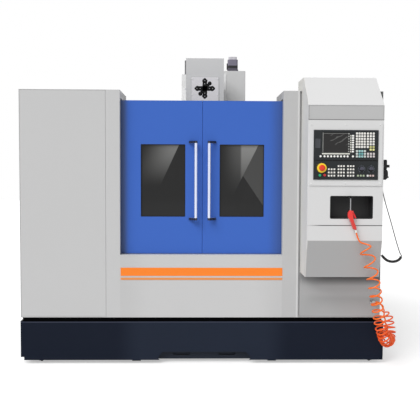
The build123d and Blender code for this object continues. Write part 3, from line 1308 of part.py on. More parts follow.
def make_console_housing():
    """The console's folded housing: slanted cap over the guard, recessed band, front and slanted chin."""
    front = -CONSOLE_REACH
    with BuildPart() as console:
        with BuildSketch(facing_right(CONSOLE_LEFT)):
            with BuildLine():
                Polyline(*[(behind(d), z) for d, z in (
                    (0, CONSOLE_BOTTOM), (CONSOLE_CHIN_DEPTH, CONSOLE_BOTTOM), (front, CONSOLE_CHIN),
                    (front, CONSOLE_NOSE), (CONSOLE_CREST_DEPTH, CONSOLE_TOP), (CONSOLE_BACK_DEPTH, CONSOLE_TOP),
                    (CONSOLE_BACK_DEPTH, GUARD_TOP), (0, GUARD_TOP))], close=True)
            make_face()
        extrude(amount=CONSOLE_RIGHT - CONSOLE_LEFT)
        with BuildSketch(facing_front(front - 1)):
            patch(CONSOLE_LEFT + 3, CONSOLE_RIGHT - 3, BAND_BOTTOM, CONSOLE_NOSE - 3)
        extrude(amount=-4, mode=Mode.SUBTRACT)
        with BuildSketch(facing_front(front - 1)) as niche:
            patch(*NICHE_BOX)
            fillet(niche.vertices(), NICHE_CORNER)
        extrude(amount=-(NICHE_DEPTH + 1), mode=Mode.SUBTRACT)
        with BuildSketch(facing_front(front - 1)):
            patch(CONSOLE_LEFT + 18, CONSOLE_RIGHT + 1, 991.5, 994.5)
        extrude(amount=-3, mode=Mode.SUBTRACT)
        with BuildSketch(facing_right(CONSOLE_RIGHT)):
            patch(behind(PENDANT_DEPTH - 20), behind(PENDANT_DEPTH + 20), PENDANT_TOP - 30, PENDANT_TOP + 22)
        extrude(amount=PENDANT_HOOK - SEAT_GAP)
        with BuildSketch(facing_right(CONSOLE_RIGHT)):
            with Locations((behind(PENDANT_COIL[-1][1]), PENDANT_COIL[-1][2])):
                Circle(PENDANT_COIL_RADIUS + 5)
        extrude(amount=1)
    return console


def make_panel_frame():
    left, right, low, high = FRAME_BOX
    with BuildPart() as frame:
        with BuildSketch(facing_front(-CONSOLE_REACH)) as face:
            patch(left, right, low, high)
            fillet(face.vertices(), 5)
            patch(*OPERATOR_BOX, Mode.SUBTRACT)
        extrude(amount=FRAME_THICK)
    return frame


def make_display_unit():
    """The upper unit: a recessed screen, the soft keys round it and two blocks of keys."""
    left, right, _, high = OPERATOR_BOX
    low = UNIT_SPLIT
    lcd = LCD_BOX
    with BuildPart() as unit:
        with BuildSketch(facing_front(-CONSOLE_REACH)):
            patch(left, right, low, high)
        extrude(amount=UNIT_THICK)
        with BuildSketch(facing_front(-CONSOLE_REACH - UNIT_THICK - 1)):
            patch(lcd[0], lcd[1], lcd[2], lcd[3])
        extrude(amount=-5, mode=Mode.SUBTRACT)
        with BuildSketch(facing_front(-CONSOLE_REACH - UNIT_THICK)):
            with Locations(*[(lcd[1] + 18, lcd[2] + 10 + 14.5 * row) for row in range(8)]):
                Rectangle(19, 10)
            with Locations(*[(lcd[0] + 20 + 21.2 * col, 1442) for col in range(8)]):
                Circle(6.5)
            for x, z, cols, rows in ((1014, 1552, 4, 6), (1089, 1552, 3, 6), (1014, 1452, 4, 3), (1089, 1452, 3, 2)):
                with Locations((x, z)):
                    with GridLocations(16, 16, cols, rows):
                        Rectangle(13, 13)
        extrude(amount=KEY_PROUD)
    return unit


def make_control_panel():
    """The lower unit: emergency stop collar, start and stop bezels, three blocks of keys and two dials."""
    left, right, low, _ = OPERATOR_BOX
    front = -CONSOLE_REACH - UNIT_THICK
    with BuildPart() as panel:
        with BuildSketch(facing_front(-CONSOLE_REACH)):
            patch(left, right, low, UNIT_SPLIT - 1)
        extrude(amount=UNIT_THICK)
        with BuildSketch(facing_front(front)):
            with Locations(ESTOP_AT):
                Circle(COLLAR_RADIUS)
        extrude(amount=COLLAR_HEIGHT)
        with BuildSketch(facing_front(front)):
            with Locations(START_AT, STOP_AT):
                Circle(BUTTON_RADIUS + 3)
        extrude(amount=2)
        with BuildSketch(facing_front(front)):
            for x, z, cols, rows in ((835, 1343, 3, 3), (896, 1352, 3, 4), (958, 1352, 3, 4)):
                with Locations((x, z)):
                    with GridLocations(18, 21, cols, rows):
                        Rectangle(13, 13)
            with Locations((1022.5, 1316), (1083, 1316)):
                with GridLocations(19, 19, 3, 1):
                    Rectangle(13, 13)
        extrude(amount=KEY_PROUD)
        for at, radius in ((ESTOP_AT, ESTOP_STEM), (START_AT, BUTTON_RADIUS), (STOP_AT, BUTTON_RADIUS),
                           (FEED_AT, KNOB_SHAFT), (SPEED_AT, KNOB_SHAFT)):
            with BuildSketch(facing_front(front - COLLAR_HEIGHT - 1)):
                with Locations(at):
                    Circle(radius + SEAT_GAP)
            extrude(amount=-(UNIT_THICK + COLLAR_HEIGHT + 2), mode=Mode.SUBTRACT)
    return panel


def turned_along_front(at, depth, profile):
    """A turned piece on the console: its profile is given as radius and distance in front of a depth."""
    x, z = at
    with BuildPart() as piece:
        with BuildSketch(Plane(origin=(x, 0, z), x_dir=(1, 0, 0), z_dir=(0, 0, 1))):
            with BuildLine():
                Polyline(*[(r, behind(depth) - reach) for r, reach in profile], close=True)
            make_face()
        revolve(axis=Axis((x, 0, z), (0, 1, 0)))
    return piece


def make_estop_button():
    """The mushroom head, standing its whole travel in front of the collar."""
    base = -CONSOLE_REACH - UNIT_THICK - COLLAR_HEIGHT
    gap = ESTOP_TRAVEL + 1
    front = ESTOP_PROUD - UNIT_THICK - COLLAR_HEIGHT
    depth_in = UNIT_THICK + COLLAR_HEIGHT - ESTOP_TRAVEL - 1
    return turned_along_front(ESTOP_AT, base, [
        (0, -depth_in), (ESTOP_STEM, -depth_in), (ESTOP_STEM, gap), (ESTOP_RADIUS - 1, gap), (ESTOP_RADIUS, gap + 3),
        (ESTOP_RADIUS - 1, gap + 8), (ESTOP_RADIUS - 6, front - 1), (ESTOP_RADIUS - 12, front), (0, front)])


def make_button(at):
    base = -CONSOLE_REACH - UNIT_THICK
    return turned_along_front(at, base, [
        (0, BUTTON_TRAVEL + 1 - UNIT_THICK), (BUTTON_RADIUS, BUTTON_TRAVEL + 1 - UNIT_THICK),
        (BUTTON_RADIUS, BUTTON_HEIGHT - 1.5), (BUTTON_RADIUS - 1.5, BUTTON_HEIGHT), (0, BUTTON_HEIGHT)])


def make_start_button():
    return make_button(START_AT)


def make_stop_button():
    return make_button(STOP_AT)


def make_knob(at):
    """A rotary dial knob with a fluted rim and a raised pointer."""
    x, z = at
    base = -CONSOLE_REACH - UNIT_THICK - SEAT_GAP
    with BuildPart() as knob:
        with BuildSketch(facing_front(base)):
            with Locations(at):
                Circle(KNOB_RADIUS)
                with PolarLocations(KNOB_RADIUS + 1.2, 10):
                    Circle(2.4, mode=Mode.SUBTRACT)
        extrude(amount=KNOB_HEIGHT - 3, taper=4)
        with BuildSketch(facing_front(base - KNOB_HEIGHT + 3)):
            with Locations((x, z + 3)):
                Rectangle(3, 14)
        extrude(amount=3)
        with BuildSketch(facing_front(base)):
            with Locations(at):
                Circle(KNOB_SHAFT)
        extrude(amount=-(UNIT_THICK - 1))
    return knob


def make_feed_knob():
    return make_knob(FEED_AT)


def make_speed_knob():
    return make_knob(SPEED_AT)


def make_console_niche():
    """The moulded liner of the niche, with the hook that the air gun hangs on."""
    left, right, low, high = NICHE_BOX
    front = -CONSOLE_REACH
    hook_z = high - HOOK_DROP
    with BuildPart() as niche:
        with BuildSketch(facing_front(front + NICHE_DEPTH)) as back:
            patch(left, right, low, high)
            fillet(back.vertices(), NICHE_CORNER)
        extrude(amount=NICHE_DEPTH)
        with BuildSketch(facing_front(front + NICHE_DEPTH - 2)) as inside:
            patch(left + 2, right - 2, low + 2, high - 2)
            fillet(inside.vertices(), NICHE_CORNER - 2)
        extrude(amount=NICHE_DEPTH, mode=Mode.SUBTRACT)
        with BuildSketch(facing_up(hook_z)):
            patch(NOZZLE_X - 13, NOZZLE_X + 13, behind(GUN_DEPTH - 12), behind(front + 40))
            patch(NOZZLE_X - NOZZLE_RADIUS - SEAT_GAP, NOZZLE_X + NOZZLE_RADIUS + SEAT_GAP,
                  behind(GUN_DEPTH - 13), behind(GUN_DEPTH + NOZZLE_RADIUS + SEAT_GAP), Mode.SUBTRACT)
        extrude(amount=HOOK_THICK)
        with BuildSketch(facing_up(hook_z)):
            patch(NOZZLE_X - 13, NOZZLE_X + 13, behind(front + 36), behind(front + 40))
        extrude(amount=high - 1 - hook_z)
    return niche


def make_air_gun():
    """The blow gun: a nozzle tube with a collar on the hook, a moulded body and grip, and a hose tail."""
    y = behind(GUN_DEPTH)
    hook_top = NICHE_BOX[3] - HOOK_DROP + HOOK_THICK
    dx, dz = FITTING_END[0] - HANDLE_END[0], FITTING_END[1] - HANDLE_END[1]
    with BuildPart() as gun:
        with BuildSketch(facing_front(GUN_DEPTH)) as body:
            with BuildLine():
                Polyline(*GUN_OUTLINE, close=True)
            make_face()
            fillet(body.vertices(), 2.5)
        extrude(amount=GUN_HALF, both=True)
        chamfer(gun.faces().sort_by(Axis.Y)[0].edges() + gun.faces().sort_by(Axis.Y)[-1].edges(), 2)
        with Locations((NOZZLE_X, y, GUN_TOP - 5)):
            Cylinder(NOZZLE_RADIUS, hook_top + 8 - GUN_TOP + 5, align=(Align.CENTER, Align.CENTER, Align.MIN))
            Cylinder(5.5, 10, align=(Align.CENTER, Align.CENTER, Align.MIN))
        with Locations((NOZZLE_X, y, hook_top + SEAT_GAP)):
            Cylinder(7.5, 5, align=(Align.CENTER, Align.CENTER, Align.MIN))
        with BuildSketch(Plane(origin=(FITTING_END[0], y, FITTING_END[1]), x_dir=(0, 1, 0), z_dir=(-dx, 0, -dz))):
            Circle(7)
        extrude(amount=math.hypot(dx, dz) + 6)
        for side in (-1, 1):
            with BuildSketch(facing_front(GUN_DEPTH + side * (LEVER_HALF + SEAT_GAP))):
                patch(TRIGGER_PIN[0] - 8, TRIGGER_PIN[0] + 5, TRIGGER_PIN[1] - 5, TRIGGER_PIN[1] + 5)
            extrude(amount=-side * 2)
        with BuildSketch(facing_front(GUN_DEPTH + LEVER_HALF + 1)):
            with Locations(TRIGGER_PIN):
                Circle(2)
        extrude(amount=2 * LEVER_HALF + 2)
        with BuildSketch(facing_front(GUN_DEPTH + LEVER_HALF + SEAT_GAP)):
            for left, up in ((3.5, 0), (0.5, 2)):
                with BuildLine():
                    Polyline(*[(x - left, z + up) for x, z in TRIGGER_OUTLINE], close=True)
                make_face()
            with Locations(TRIGGER_PIN):
                Circle(2, mode=Mode.SUBTRACT)
        extrude(amount=2 * (LEVER_HALF + SEAT_GAP), mode=Mode.SUBTRACT)
    return gun


def make_gun_trigger():
    """The lever along the gun's right side, hinged on its pin between two lugs."""
    with BuildPart() as trigger:
        with BuildSketch(facing_front(GUN_DEPTH + LEVER_HALF)):
            with BuildLine():
                Polyline(*TRIGGER_OUTLINE, close=True)
            make_face()
            with Locations(TRIGGER_PIN):
                Circle(2 + SEAT_GAP, mode=Mode.SUBTRACT)
        extrude(amount=2 * LEVER_HALF)
    return trigger


def make_hose_coupler():
    """The elbow coupler on the right-hand guard panel that the air hose plugs into."""
    x, z = OUTLET_AT
    with BuildPart() as fitting:
        with BuildSketch(facing_front(0)):
            with Locations((x, z)):
                RegularPolygon(14, 6)
        extrude(amount=8)
        with BuildSketch(facing_front(-8)):
            with Locations((x, z)):
                Circle(9)
        extrude(amount=OUTLET_REACH)
        with BuildSketch(facing_right(x)):
            with Locations((behind(-OUTLET_REACH), z)):
                Circle(8)
        extrude(amount=OUTLET_ELBOW)
    return fitting


def make_pendant_body():
    """The pendant's waisted shell with its two selector dials."""
    left = CONSOLE_RIGHT + PENDANT_HOOK
    y = behind(PENDANT_DEPTH)
    half = PENDANT_HALF
    with BuildPart() as body:
        with BuildSketch(facing_right(left)) as shell:
            with BuildLine():
                Polyline((y - half, PENDANT_BOTTOM + 22), (y - half + 16, PENDANT_BOTTOM),
                         (y + half - 16, PENDANT_BOTTOM), (y + half, PENDANT_BOTTOM + 22), (y + half, WHEEL_Z + 22),
                         (y + half - 7, WHEEL_Z + 32), (y + half, SELECTOR_Z - 12), (y + half, PENDANT_TOP - 8),
                         (y + half - 8, PENDANT_TOP), (y - half + 8, PENDANT_TOP), (y - half, PENDANT_TOP - 8),
                         (y - half, SELECTOR_Z - 12), (y - half + 7, WHEEL_Z + 32), (y - half, WHEEL_Z + 22),
                         close=True)
            make_face()
        extrude(amount=PENDANT_THICK)
        fillet(body.faces().sort_by(Axis.X)[-1].edges(), 4)
        with BuildSketch(facing_right(left + PENDANT_THICK)):
            with Locations((y - 20, SELECTOR_Z), (y + 20, SELECTOR_Z)):
                Circle(9.5)
        extrude(amount=12)
        with BuildSketch(facing_right(left + PENDANT_THICK)):
            for at in (y - 20, y + 20):
                patch(at - 2, at + 2, SELECTOR_Z - 9, SELECTOR_Z + 9)
        extrude(amount=22)
        with BuildSketch(facing_right(left + PENDANT_THICK - 10)):
            with Locations((y, WHEEL_Z)):
                Circle(KNOB_SHAFT + SEAT_GAP)
        extrude(amount=11, mode=Mode.SUBTRACT)
    return body


def make_pendant_wheel():
    """The handwheel with its spinner, on a shaft in the pendant."""
    y = behind(PENDANT_DEPTH)
    face = CONSOLE_RIGHT + PENDANT_HOOK + PENDANT_THICK + SEAT_GAP
    with BuildPart() as wheel:
        with BuildSketch(facing_right(face)):
            with Locations((y, WHEEL_Z)):
                Circle(WHEEL_RADIUS)
        extrude(amount=10)
        with BuildSketch(facing_right(face + 10)):
            with Locations((y, WHEEL_Z)):
                Circle(WHEEL_RADIUS - 3)
                Circle(WHEEL_RADIUS - 8, mode=Mode.SUBTRACT)
        extrude(amount=-3, mode=Mode.SUBTRACT)
        with BuildSketch(facing_right(face + 10)):
            with Locations((y, WHEEL_Z - WHEEL_RADIUS + 12)):
                Circle(5)
        extrude(amount=12)
        with BuildSketch(facing_right(face)):
            with Locations((y, WHEEL_Z)):
                Circle(KNOB_SHAFT)
        extrude(amount=-9)
    return wheel


def bend_radii(points):
    """For each corner, 0.45 of its shorter run divided by the tangent of half the turn."""
    steps = [Vector(*b) - Vector(*a) for a, b in zip(points, points[1:])]
    return [0.45 * min(one.length, two.length) / math.tan(math.radians(one.get_angle(two)) / 2)
            for one, two in zip(steps, steps[1:])]


def tube_along(route, radius):
    """A round tube along straight runs joined by tangent arcs."""
    points = [(x, behind(depth), z) for x, depth, z in route]
    radii = bend_radii(points)
    with BuildPart() as tube:
        with BuildLine() as path:
            FilletPolyline(*points, radius=radii)
        with BuildSketch(Plane(origin=points[0], z_dir=path.line % 0)):
            Circle(radius)
        sweep()
    whole = math.pi * radius**2 * path.wires()[0].length
    print("tube radius", radius, "least bend", round(min(radii)), "volume share", round(tube.part.volume / whole, 4))
    return tube


def make_air_hose():
    with BuildPart() as hose:
        add(tube_along(AIR_TAIL, AIR_HOSE_RADIUS).part)
        add(tube_along(AIR_COIL, AIR_COIL_RADIUS).part)
        add(tube_along(AIR_END, AIR_HOSE_RADIUS).part)
    return hose


def make_pendant_cord():
    with BuildPart() as cord:
        add(tube_along(PENDANT_CORD, PENDANT_CORD_RADIUS).part)
        add(tube_along(PENDANT_COIL, PENDANT_COIL_RADIUS).part)
    return cord


PIECES = {
    "base_pan": make_base_pan,
    "levelling_feet": make_levelling_feet,
    "coolant_tank": make_coolant_tank,
    "machine_bed": make_machine_bed,
    "column": make_column,
    "linear_rails": make_linear_rails,
    "left_guard": make_left_guard,
    "right_guard": make_right_guard,
    "guard_front_panels": make_guard_front_panels,
    "lower_front_panel": make_lower_front_panel,
    "accent_bands": make_accent_bands,
    "enclosure_walls": make_enclosure_walls,
    "chip_tray": make_chip_tray,
    "door_rails": make_door_rails,
    "fixed_way_covers": make_fixed_way_covers,
    "electrical_cabinet": make_electrical_cabinet,
    "cabinet_door": make_cabinet_door,
    "z_drive_box": make_z_drive_box,
    "z_motor": make_z_motor,
    "cable_channel": make_cable_channel,
    "console_housing": make_console_housing,
    "panel_frame": make_panel_frame,
    "display_unit": make_display_unit,
    "control_panel": make_control_panel,
    "estop_button": make_estop_button,
    "start_button": make_start_button,
    "stop_button": make_stop_button,
    "feed_knob": make_feed_knob,
    "speed_knob": make_speed_knob,
    "console_niche": make_console_niche,
    "air_gun": make_air_gun,
    "gun_trigger": make_gun_trigger,
    "air_hose": make_air_hose,
    "hose_coupler": make_hose_coupler,
    "pendant_body": make_pendant_body,
    "pendant_wheel": make_pendant_wheel,
    "pendant_cord": make_pendant_cord,
    "left_door": make_left_door,
    "left_window": make_left_window,
    "left_handle": make_left_handle,
    "right_door": make_right_door,
    "right_window": make_right_window,
    "right_handle": make_right_handle,
    "saddle": make_saddle,
    "saddle_covers": make_saddle_covers,
    "y_front_cover_mid": make_y_front_cover_mid,
    "y_rear_cover_mid": make_y_rear_cover_mid,
    "z_cover_mid": make_z_cover_mid,
    "table": make_table,
    "table_wings": make_table_wings,
    "spindle_head": make_spindle_head,
    "head_covers": make_head_covers,
    "axis_sign_plate": make_axis_sign_plate,
    "spindle": make_spindle,
    "magazine_carriage": make_magazine_carriage,
    "tool_carousel": make_tool_carousel,
    "tool_holders": make_tool_holders,
    "x_screw": make_x_screw,
    "y_screw": make_y_screw,
    "z_screw": make_z_screw,
}

os.makedirs("parts", exist_ok=True)
for name, make in PIECES.items():
    piece = make()
    piece.part.label = name
    export_step(piece.part, f"parts/{name}.step")
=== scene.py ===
"""Dresses the machining centre: its enamels, bare metals, glass, keys, cords and the studio round it."""

import math

import bmesh
import bpy
import numpy as np
from bpy.props import FloatProperty, FloatVectorProperty, IntProperty, PointerProperty
from mathutils import Matrix


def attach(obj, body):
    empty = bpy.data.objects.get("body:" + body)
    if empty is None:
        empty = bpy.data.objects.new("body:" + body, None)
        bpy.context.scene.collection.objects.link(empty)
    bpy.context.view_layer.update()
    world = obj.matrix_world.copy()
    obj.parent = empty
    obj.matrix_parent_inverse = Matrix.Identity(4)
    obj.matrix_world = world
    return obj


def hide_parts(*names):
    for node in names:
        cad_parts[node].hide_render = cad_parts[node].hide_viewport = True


bl_info = {
    "name": "Machining centre finishes",
    "version": (1, 0, 0),
    "blender": (4, 5, 0),
    "location": "View3D > Sidebar > Machining centre",
    "description": "Finishes, keys, cords and studio for a vertical machining centre",
    "category": "Object",
}

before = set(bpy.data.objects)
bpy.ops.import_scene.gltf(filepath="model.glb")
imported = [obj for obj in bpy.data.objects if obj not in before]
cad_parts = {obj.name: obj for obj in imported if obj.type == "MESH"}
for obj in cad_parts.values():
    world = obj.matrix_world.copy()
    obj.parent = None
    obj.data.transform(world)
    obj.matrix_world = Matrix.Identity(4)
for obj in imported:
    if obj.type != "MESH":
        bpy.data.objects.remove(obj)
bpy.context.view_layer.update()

# Directions as seen from the front
ACROSS = np.array([1.0, 0, 0])
UP = np.array([0, 0, 1.0])
OUT = np.array([0, -1.0, 0])

# The guards' front plane in metres, and the other front planes in millimetres behind it
GUARD_FRONT = -0.830
CONSOLE_FACE = -280.0
UNIT_FACE = -291.0
SIGN_FACE = 602.0

# Sizes and colours


def tone(red, green=None, blue=None):
    """A display colour from 0 to 255, or a grey from one number, as the linear colour of a shader."""
    part = np.array([red] * 3 if green is None else [red, green, blue]) / 255
    linear = np.where(part <= 0.04045, part / 12.92, ((part + 0.055) / 1.055) ** 2.4)
    return (*[float(v) for v in linear], 1.0)


def colour_prop(label, what, *colour):
    return FloatVectorProperty(name=label, description=what, subtype="COLOR", size=4, min=0, max=1,
                               default=tone(*colour))


def length_prop(label, what, value):
    return FloatProperty(name=label, description=what, default=value, unit="LENGTH")


class CordSizes(bpy.types.PropertyGroup):
    hose_radius: length_prop("Hose radius", "Half the air hose's outside diameter", 0.005)
    hose_coil: length_prop("Hose coil", "Radius of the air hose's turns at their centreline", 0.0345)
    cord_radius: length_prop("Cord radius", "Half the pendant cord's diameter", 0.003)
    cord_coil: length_prop("Cord coil", "Radius of the pendant cord's tight turns", 0.0068)
    sides: IntProperty(name="Sides", description="Faces round a cord", default=10, min=6)


class KeySizes(bpy.types.PropertyGroup):
    key_height: length_prop("Key height", "How far a key stands off its unit", 0.0027)
    key_width: length_prop("Key width", "Width of a square key cap", 0.0130)
    dish: length_prop("Dish", "Depth of the finger dish in a key cap", 0.0006)


class Colours(bpy.types.PropertyGroup):
    guard: colour_prop("Guards", "Light grey enamel of the guards", 198)
    panel: colour_prop("Centre panel", "Light grey enamel under the doors", 201)
    console: colour_prop("Console", "Pale grey enamel of the console", 216)
    shade: colour_prop("Console chin", "Darker grey enamel under the console's face", 175)
    band: colour_prop("Console band", "Darker grey enamel over the console's face", 151)
    door: colour_prop("Doors", "Blue enamel of the sliding doors", 62, 104, 192)
    base: colour_prop("Base", "Dark navy enamel of the base pan", 28, 33, 45)
    bands: colour_prop("Bands", "Orange bands under the doors", 252, 134, 40)
    hose: colour_prop("Hose", "Orange polyurethane of the air hose", 250, 118, 38)
    gun: colour_prop("Air gun", "Moulded red of the air gun", 232, 46, 42)
    casting: colour_prop("Castings", "Grey enamel on the castings", 206, 208, 208)
    mushroom: colour_prop("Stop button", "Red of the emergency stop", 226, 58, 30)
    collar: colour_prop("Stop collar", "Yellow ring under the emergency stop", 255, 219, 58)


class Studio(bpy.types.PropertyGroup):
    sun: FloatProperty(name="Key light", description="Strength of the soft key light", default=2.25, min=0)
    sky: FloatProperty(name="Fill", description="Strength of the even light all round", default=0.46, min=0)
    floor: colour_prop("Floor", "Pale studio floor", 226)


# Surfaces


def place(x, depth, z):
    """Millimetres across, behind the guards' front plane and up, as a point in metres."""
    return np.array([x / 1000, GUARD_FRONT + depth / 1000, z / 1000])


def on_unit(x, z):
    """Points on the front of the operator's units."""
    return place(x, UNIT_FACE, z)


def surface(name, grids, wrap=True, smooth=True, marks=None):
    """One mesh from an array of copies x rows x columns x 3. Each cell of four neighbouring points is a face,
    rows are joined round when wrap is set, points that coincide are merged, and faces are turned outwards.
    marks is a dict of point attributes with one vector or colour for each point."""
    copies, rows, cols, _ = grids.shape
    index = np.arange(copies * rows * cols).reshape(copies, rows, cols)
    here, there = (index, np.roll(index, -1, axis=2)) if wrap else (index[:, :, :-1], index[:, :, 1:])
    quads = np.stack([here[:, :-1], there[:, :-1], there[:, 1:], here[:, 1:]], axis=-1).reshape(-1, 4)
    mesh = bpy.data.meshes.new(name)
    mesh.from_pydata(grids.reshape(-1, 3).tolist(), [], quads.tolist())
    for label, values in (marks or {}).items():
        kind, field = ("FLOAT_COLOR", "color") if values.shape[-1] == 4 else ("FLOAT_VECTOR", "vector")
        layer = mesh.attributes.new(label, kind, "POINT")
        layer.data.foreach_set(field, values.astype(np.float32).ravel())
    work = bmesh.new()
    work.from_mesh(mesh)
    bmesh.ops.remove_doubles(work, verts=work.verts, dist=1e-6)
    bmesh.ops.recalc_face_normals(work, faces=work.faces)
    work.to_mesh(mesh)
    work.free()
    mesh.polygons.foreach_set("use_smooth", np.full(len(mesh.polygons), smooth))
    piece = bpy.data.objects.new(name, mesh)
    bpy.context.scene.collection.objects.link(piece)
    return piece


def turned(centres, profile, sides, view=(ACROSS, UP, OUT)):
    """A profile of radius and reach turned round an axis through each centre: the point at angle a is
    the centre + radius (cos a * across + sin a * up) + reach * out."""
    across, up, out = view
    angle = np.linspace(0, 2 * math.pi, sides, endpoint=False)
    ring = np.cos(angle)[:, None] * across + np.sin(angle)[:, None] * up
    radius, reach = np.array(profile, float).T / 1000
    body = radius[:, None, None] * ring[None] + reach[:, None, None] * out
    return np.asarray(centres)[:, None, None, :] + body[None]


def round_box(width, height, corner, steps):
    """Four quarter circles walked round, their centres set in from a rectangle's corners by their radius."""
    turn = np.linspace(0, math.pi / 2, steps)[None] + np.arange(4)[:, None] * math.pi / 2
    right = np.array([1, -1, -1, 1])[:, None]
    top = np.array([1, 1, -1, -1])[:, None]
    across = right * (width / 2 - corner) + corner * np.cos(turn)
    up = top * (height / 2 - corner) + corner * np.sin(turn)
    return across.ravel(), up.ravel()


def padded_box(centres, width, height, corner, profile, steps):
    """A round-cornered rectangle carried along a profile of inset and reach, in millimetres: each row is the
    outline shrunk by its inset and moved out by its reach. Sides and corners keep a least size."""
    least_side, least_corner, least_radius = 0.01, 0.2, 0.004
    rows = []
    for inset, reach in profile:
        room = max(min(width, height) / 2 - inset, least_radius)
        across, up = round_box(max(width - 2 * inset, least_side), max(height - 2 * inset, least_side),
                               min(max(corner - inset, least_corner), room), steps)
        rows.append((across[:, None] * ACROSS + up[:, None] * UP + reach * OUT) / 1000)
    return np.asarray(centres)[:, None, None, :] + np.array(rows)[None]


def spun(points, angle):
    """Flat points turned round their origin."""
    turn = np.array([[math.cos(angle), -math.sin(angle)], [math.sin(angle), math.cos(angle)]])
    return np.array(points, float) @ turn.T


def flat_shape(outline, middle, thick, angle, origin):
    """A flat shape turned by an angle: its outline at the base and at its thickness, then its middle."""
    points = spun(outline, angle)
    rows = [points, points, np.repeat(spun([(middle, 0)], angle), len(points), axis=0)]
    lifts = (0.0, thick, thick)
    return origin + np.array([(row[:, :1] * ACROSS + row[:, 1:] * UP + lift * OUT) / 1000
                              for row, lift in zip(rows, lifts)])


# Routes


def read_route(points):
    """Points along a NURBS spline of order 3, held at its ends, with the route as its control points."""
    curve = bpy.data.curves.new("route", "CURVE")
    curve.dimensions = "3D"
    curve.resolution_u = 32
    spline = curve.splines.new("NURBS")
    spline.points.add(len(points) - 1)
    spline.points.foreach_set("co", np.c_[points, np.ones(len(points))].ravel())
    spline.order_u = 3
    spline.use_endpoint_u = True
    holder = bpy.data.objects.new("route", curve)
    mesh = bpy.data.meshes.new_from_object(holder)
    line = np.empty(len(mesh.vertices) * 3)
    mesh.vertices.foreach_get("co", line)
    bpy.data.meshes.remove(mesh)
    bpy.data.objects.remove(holder)
    bpy.data.curves.remove(curve)
    return line.reshape(-1, 3)


def along(line):
    """How far along a line each of its points lies."""
    return np.r_[0, np.cumsum(np.linalg.norm(np.diff(line, axis=0), axis=1))]


def even_points(line, count):
    """The line at equal steps of length."""
    far = along(line)
    steps = np.linspace(0, far[-1], count)
    return np.stack([np.interp(steps, far, line[:, i]) for i in range(3)], axis=1)


def unit(vectors):
    """Vectors brought to a length of 1."""
    return vectors / np.linalg.norm(vectors, axis=1)[:, None]


def eased(part):
    """A share held between 0 and 1, that starts and ends level: 3 s squared - 2 s cubed."""
    share = np.clip(part, 0, 1)
    return share * share * (3 - 2 * share)


def wound(line, hint, radius, turns, level=0.0):
    """A helix round a line: the point + radius (cos 2 pi n * first + sin 2 pi n * second), n being the turns
    so far. Where level is 1, first and second lie level, and where it is 0 they are square to the line. The
    first lies as near hint as it can."""
    ahead = unit(np.gradient(line, axis=0))
    first = unit(hint - (ahead @ hint)[:, None] * ahead)
    second = np.cross(ahead, first)
    level = np.broadcast_to(level, len(line))[:, None]
    first = first + level * (hint - first)
    second = second + level * (np.cross(-UP, hint) - second)
    angle = 2 * math.pi * turns
    return line + radius[:, None] * (np.cos(angle)[:, None] * first + np.sin(angle)[:, None] * second)


def tube(line, radius, sides):
    """A circle carried along a line: the point + radius (cos a * first + sin a * second), with closed ends.
    The first direction is carried on without twist, by adding up the twist that a fixed one would make."""
    ahead = unit(np.gradient(line, axis=0))
    first = unit(np.cross(ahead, np.eye(3)[np.argmin(np.abs(ahead), axis=1)]))
    second = np.cross(ahead, first)
    before = first[:-1] - np.sum(first[:-1] * ahead[1:], axis=1)[:, None] * ahead[1:]
    step = np.arctan2(np.sum(before * second[1:], axis=1), np.sum(before * first[1:], axis=1))
    twist = np.r_[0, np.cumsum(step)]
    angle = np.linspace(0, 2 * math.pi, sides, endpoint=False)[None] + twist[:, None]
    ring = radius * (np.cos(angle)[..., None] * first[:, None] + np.sin(angle)[..., None] * second[:, None])
    start, end = (np.repeat(point[None, None], sides, axis=1) for point in (line[0], line[-1]))
    return np.concatenate([start, line[:, None] + ring, end])[None]


# Shader helpers


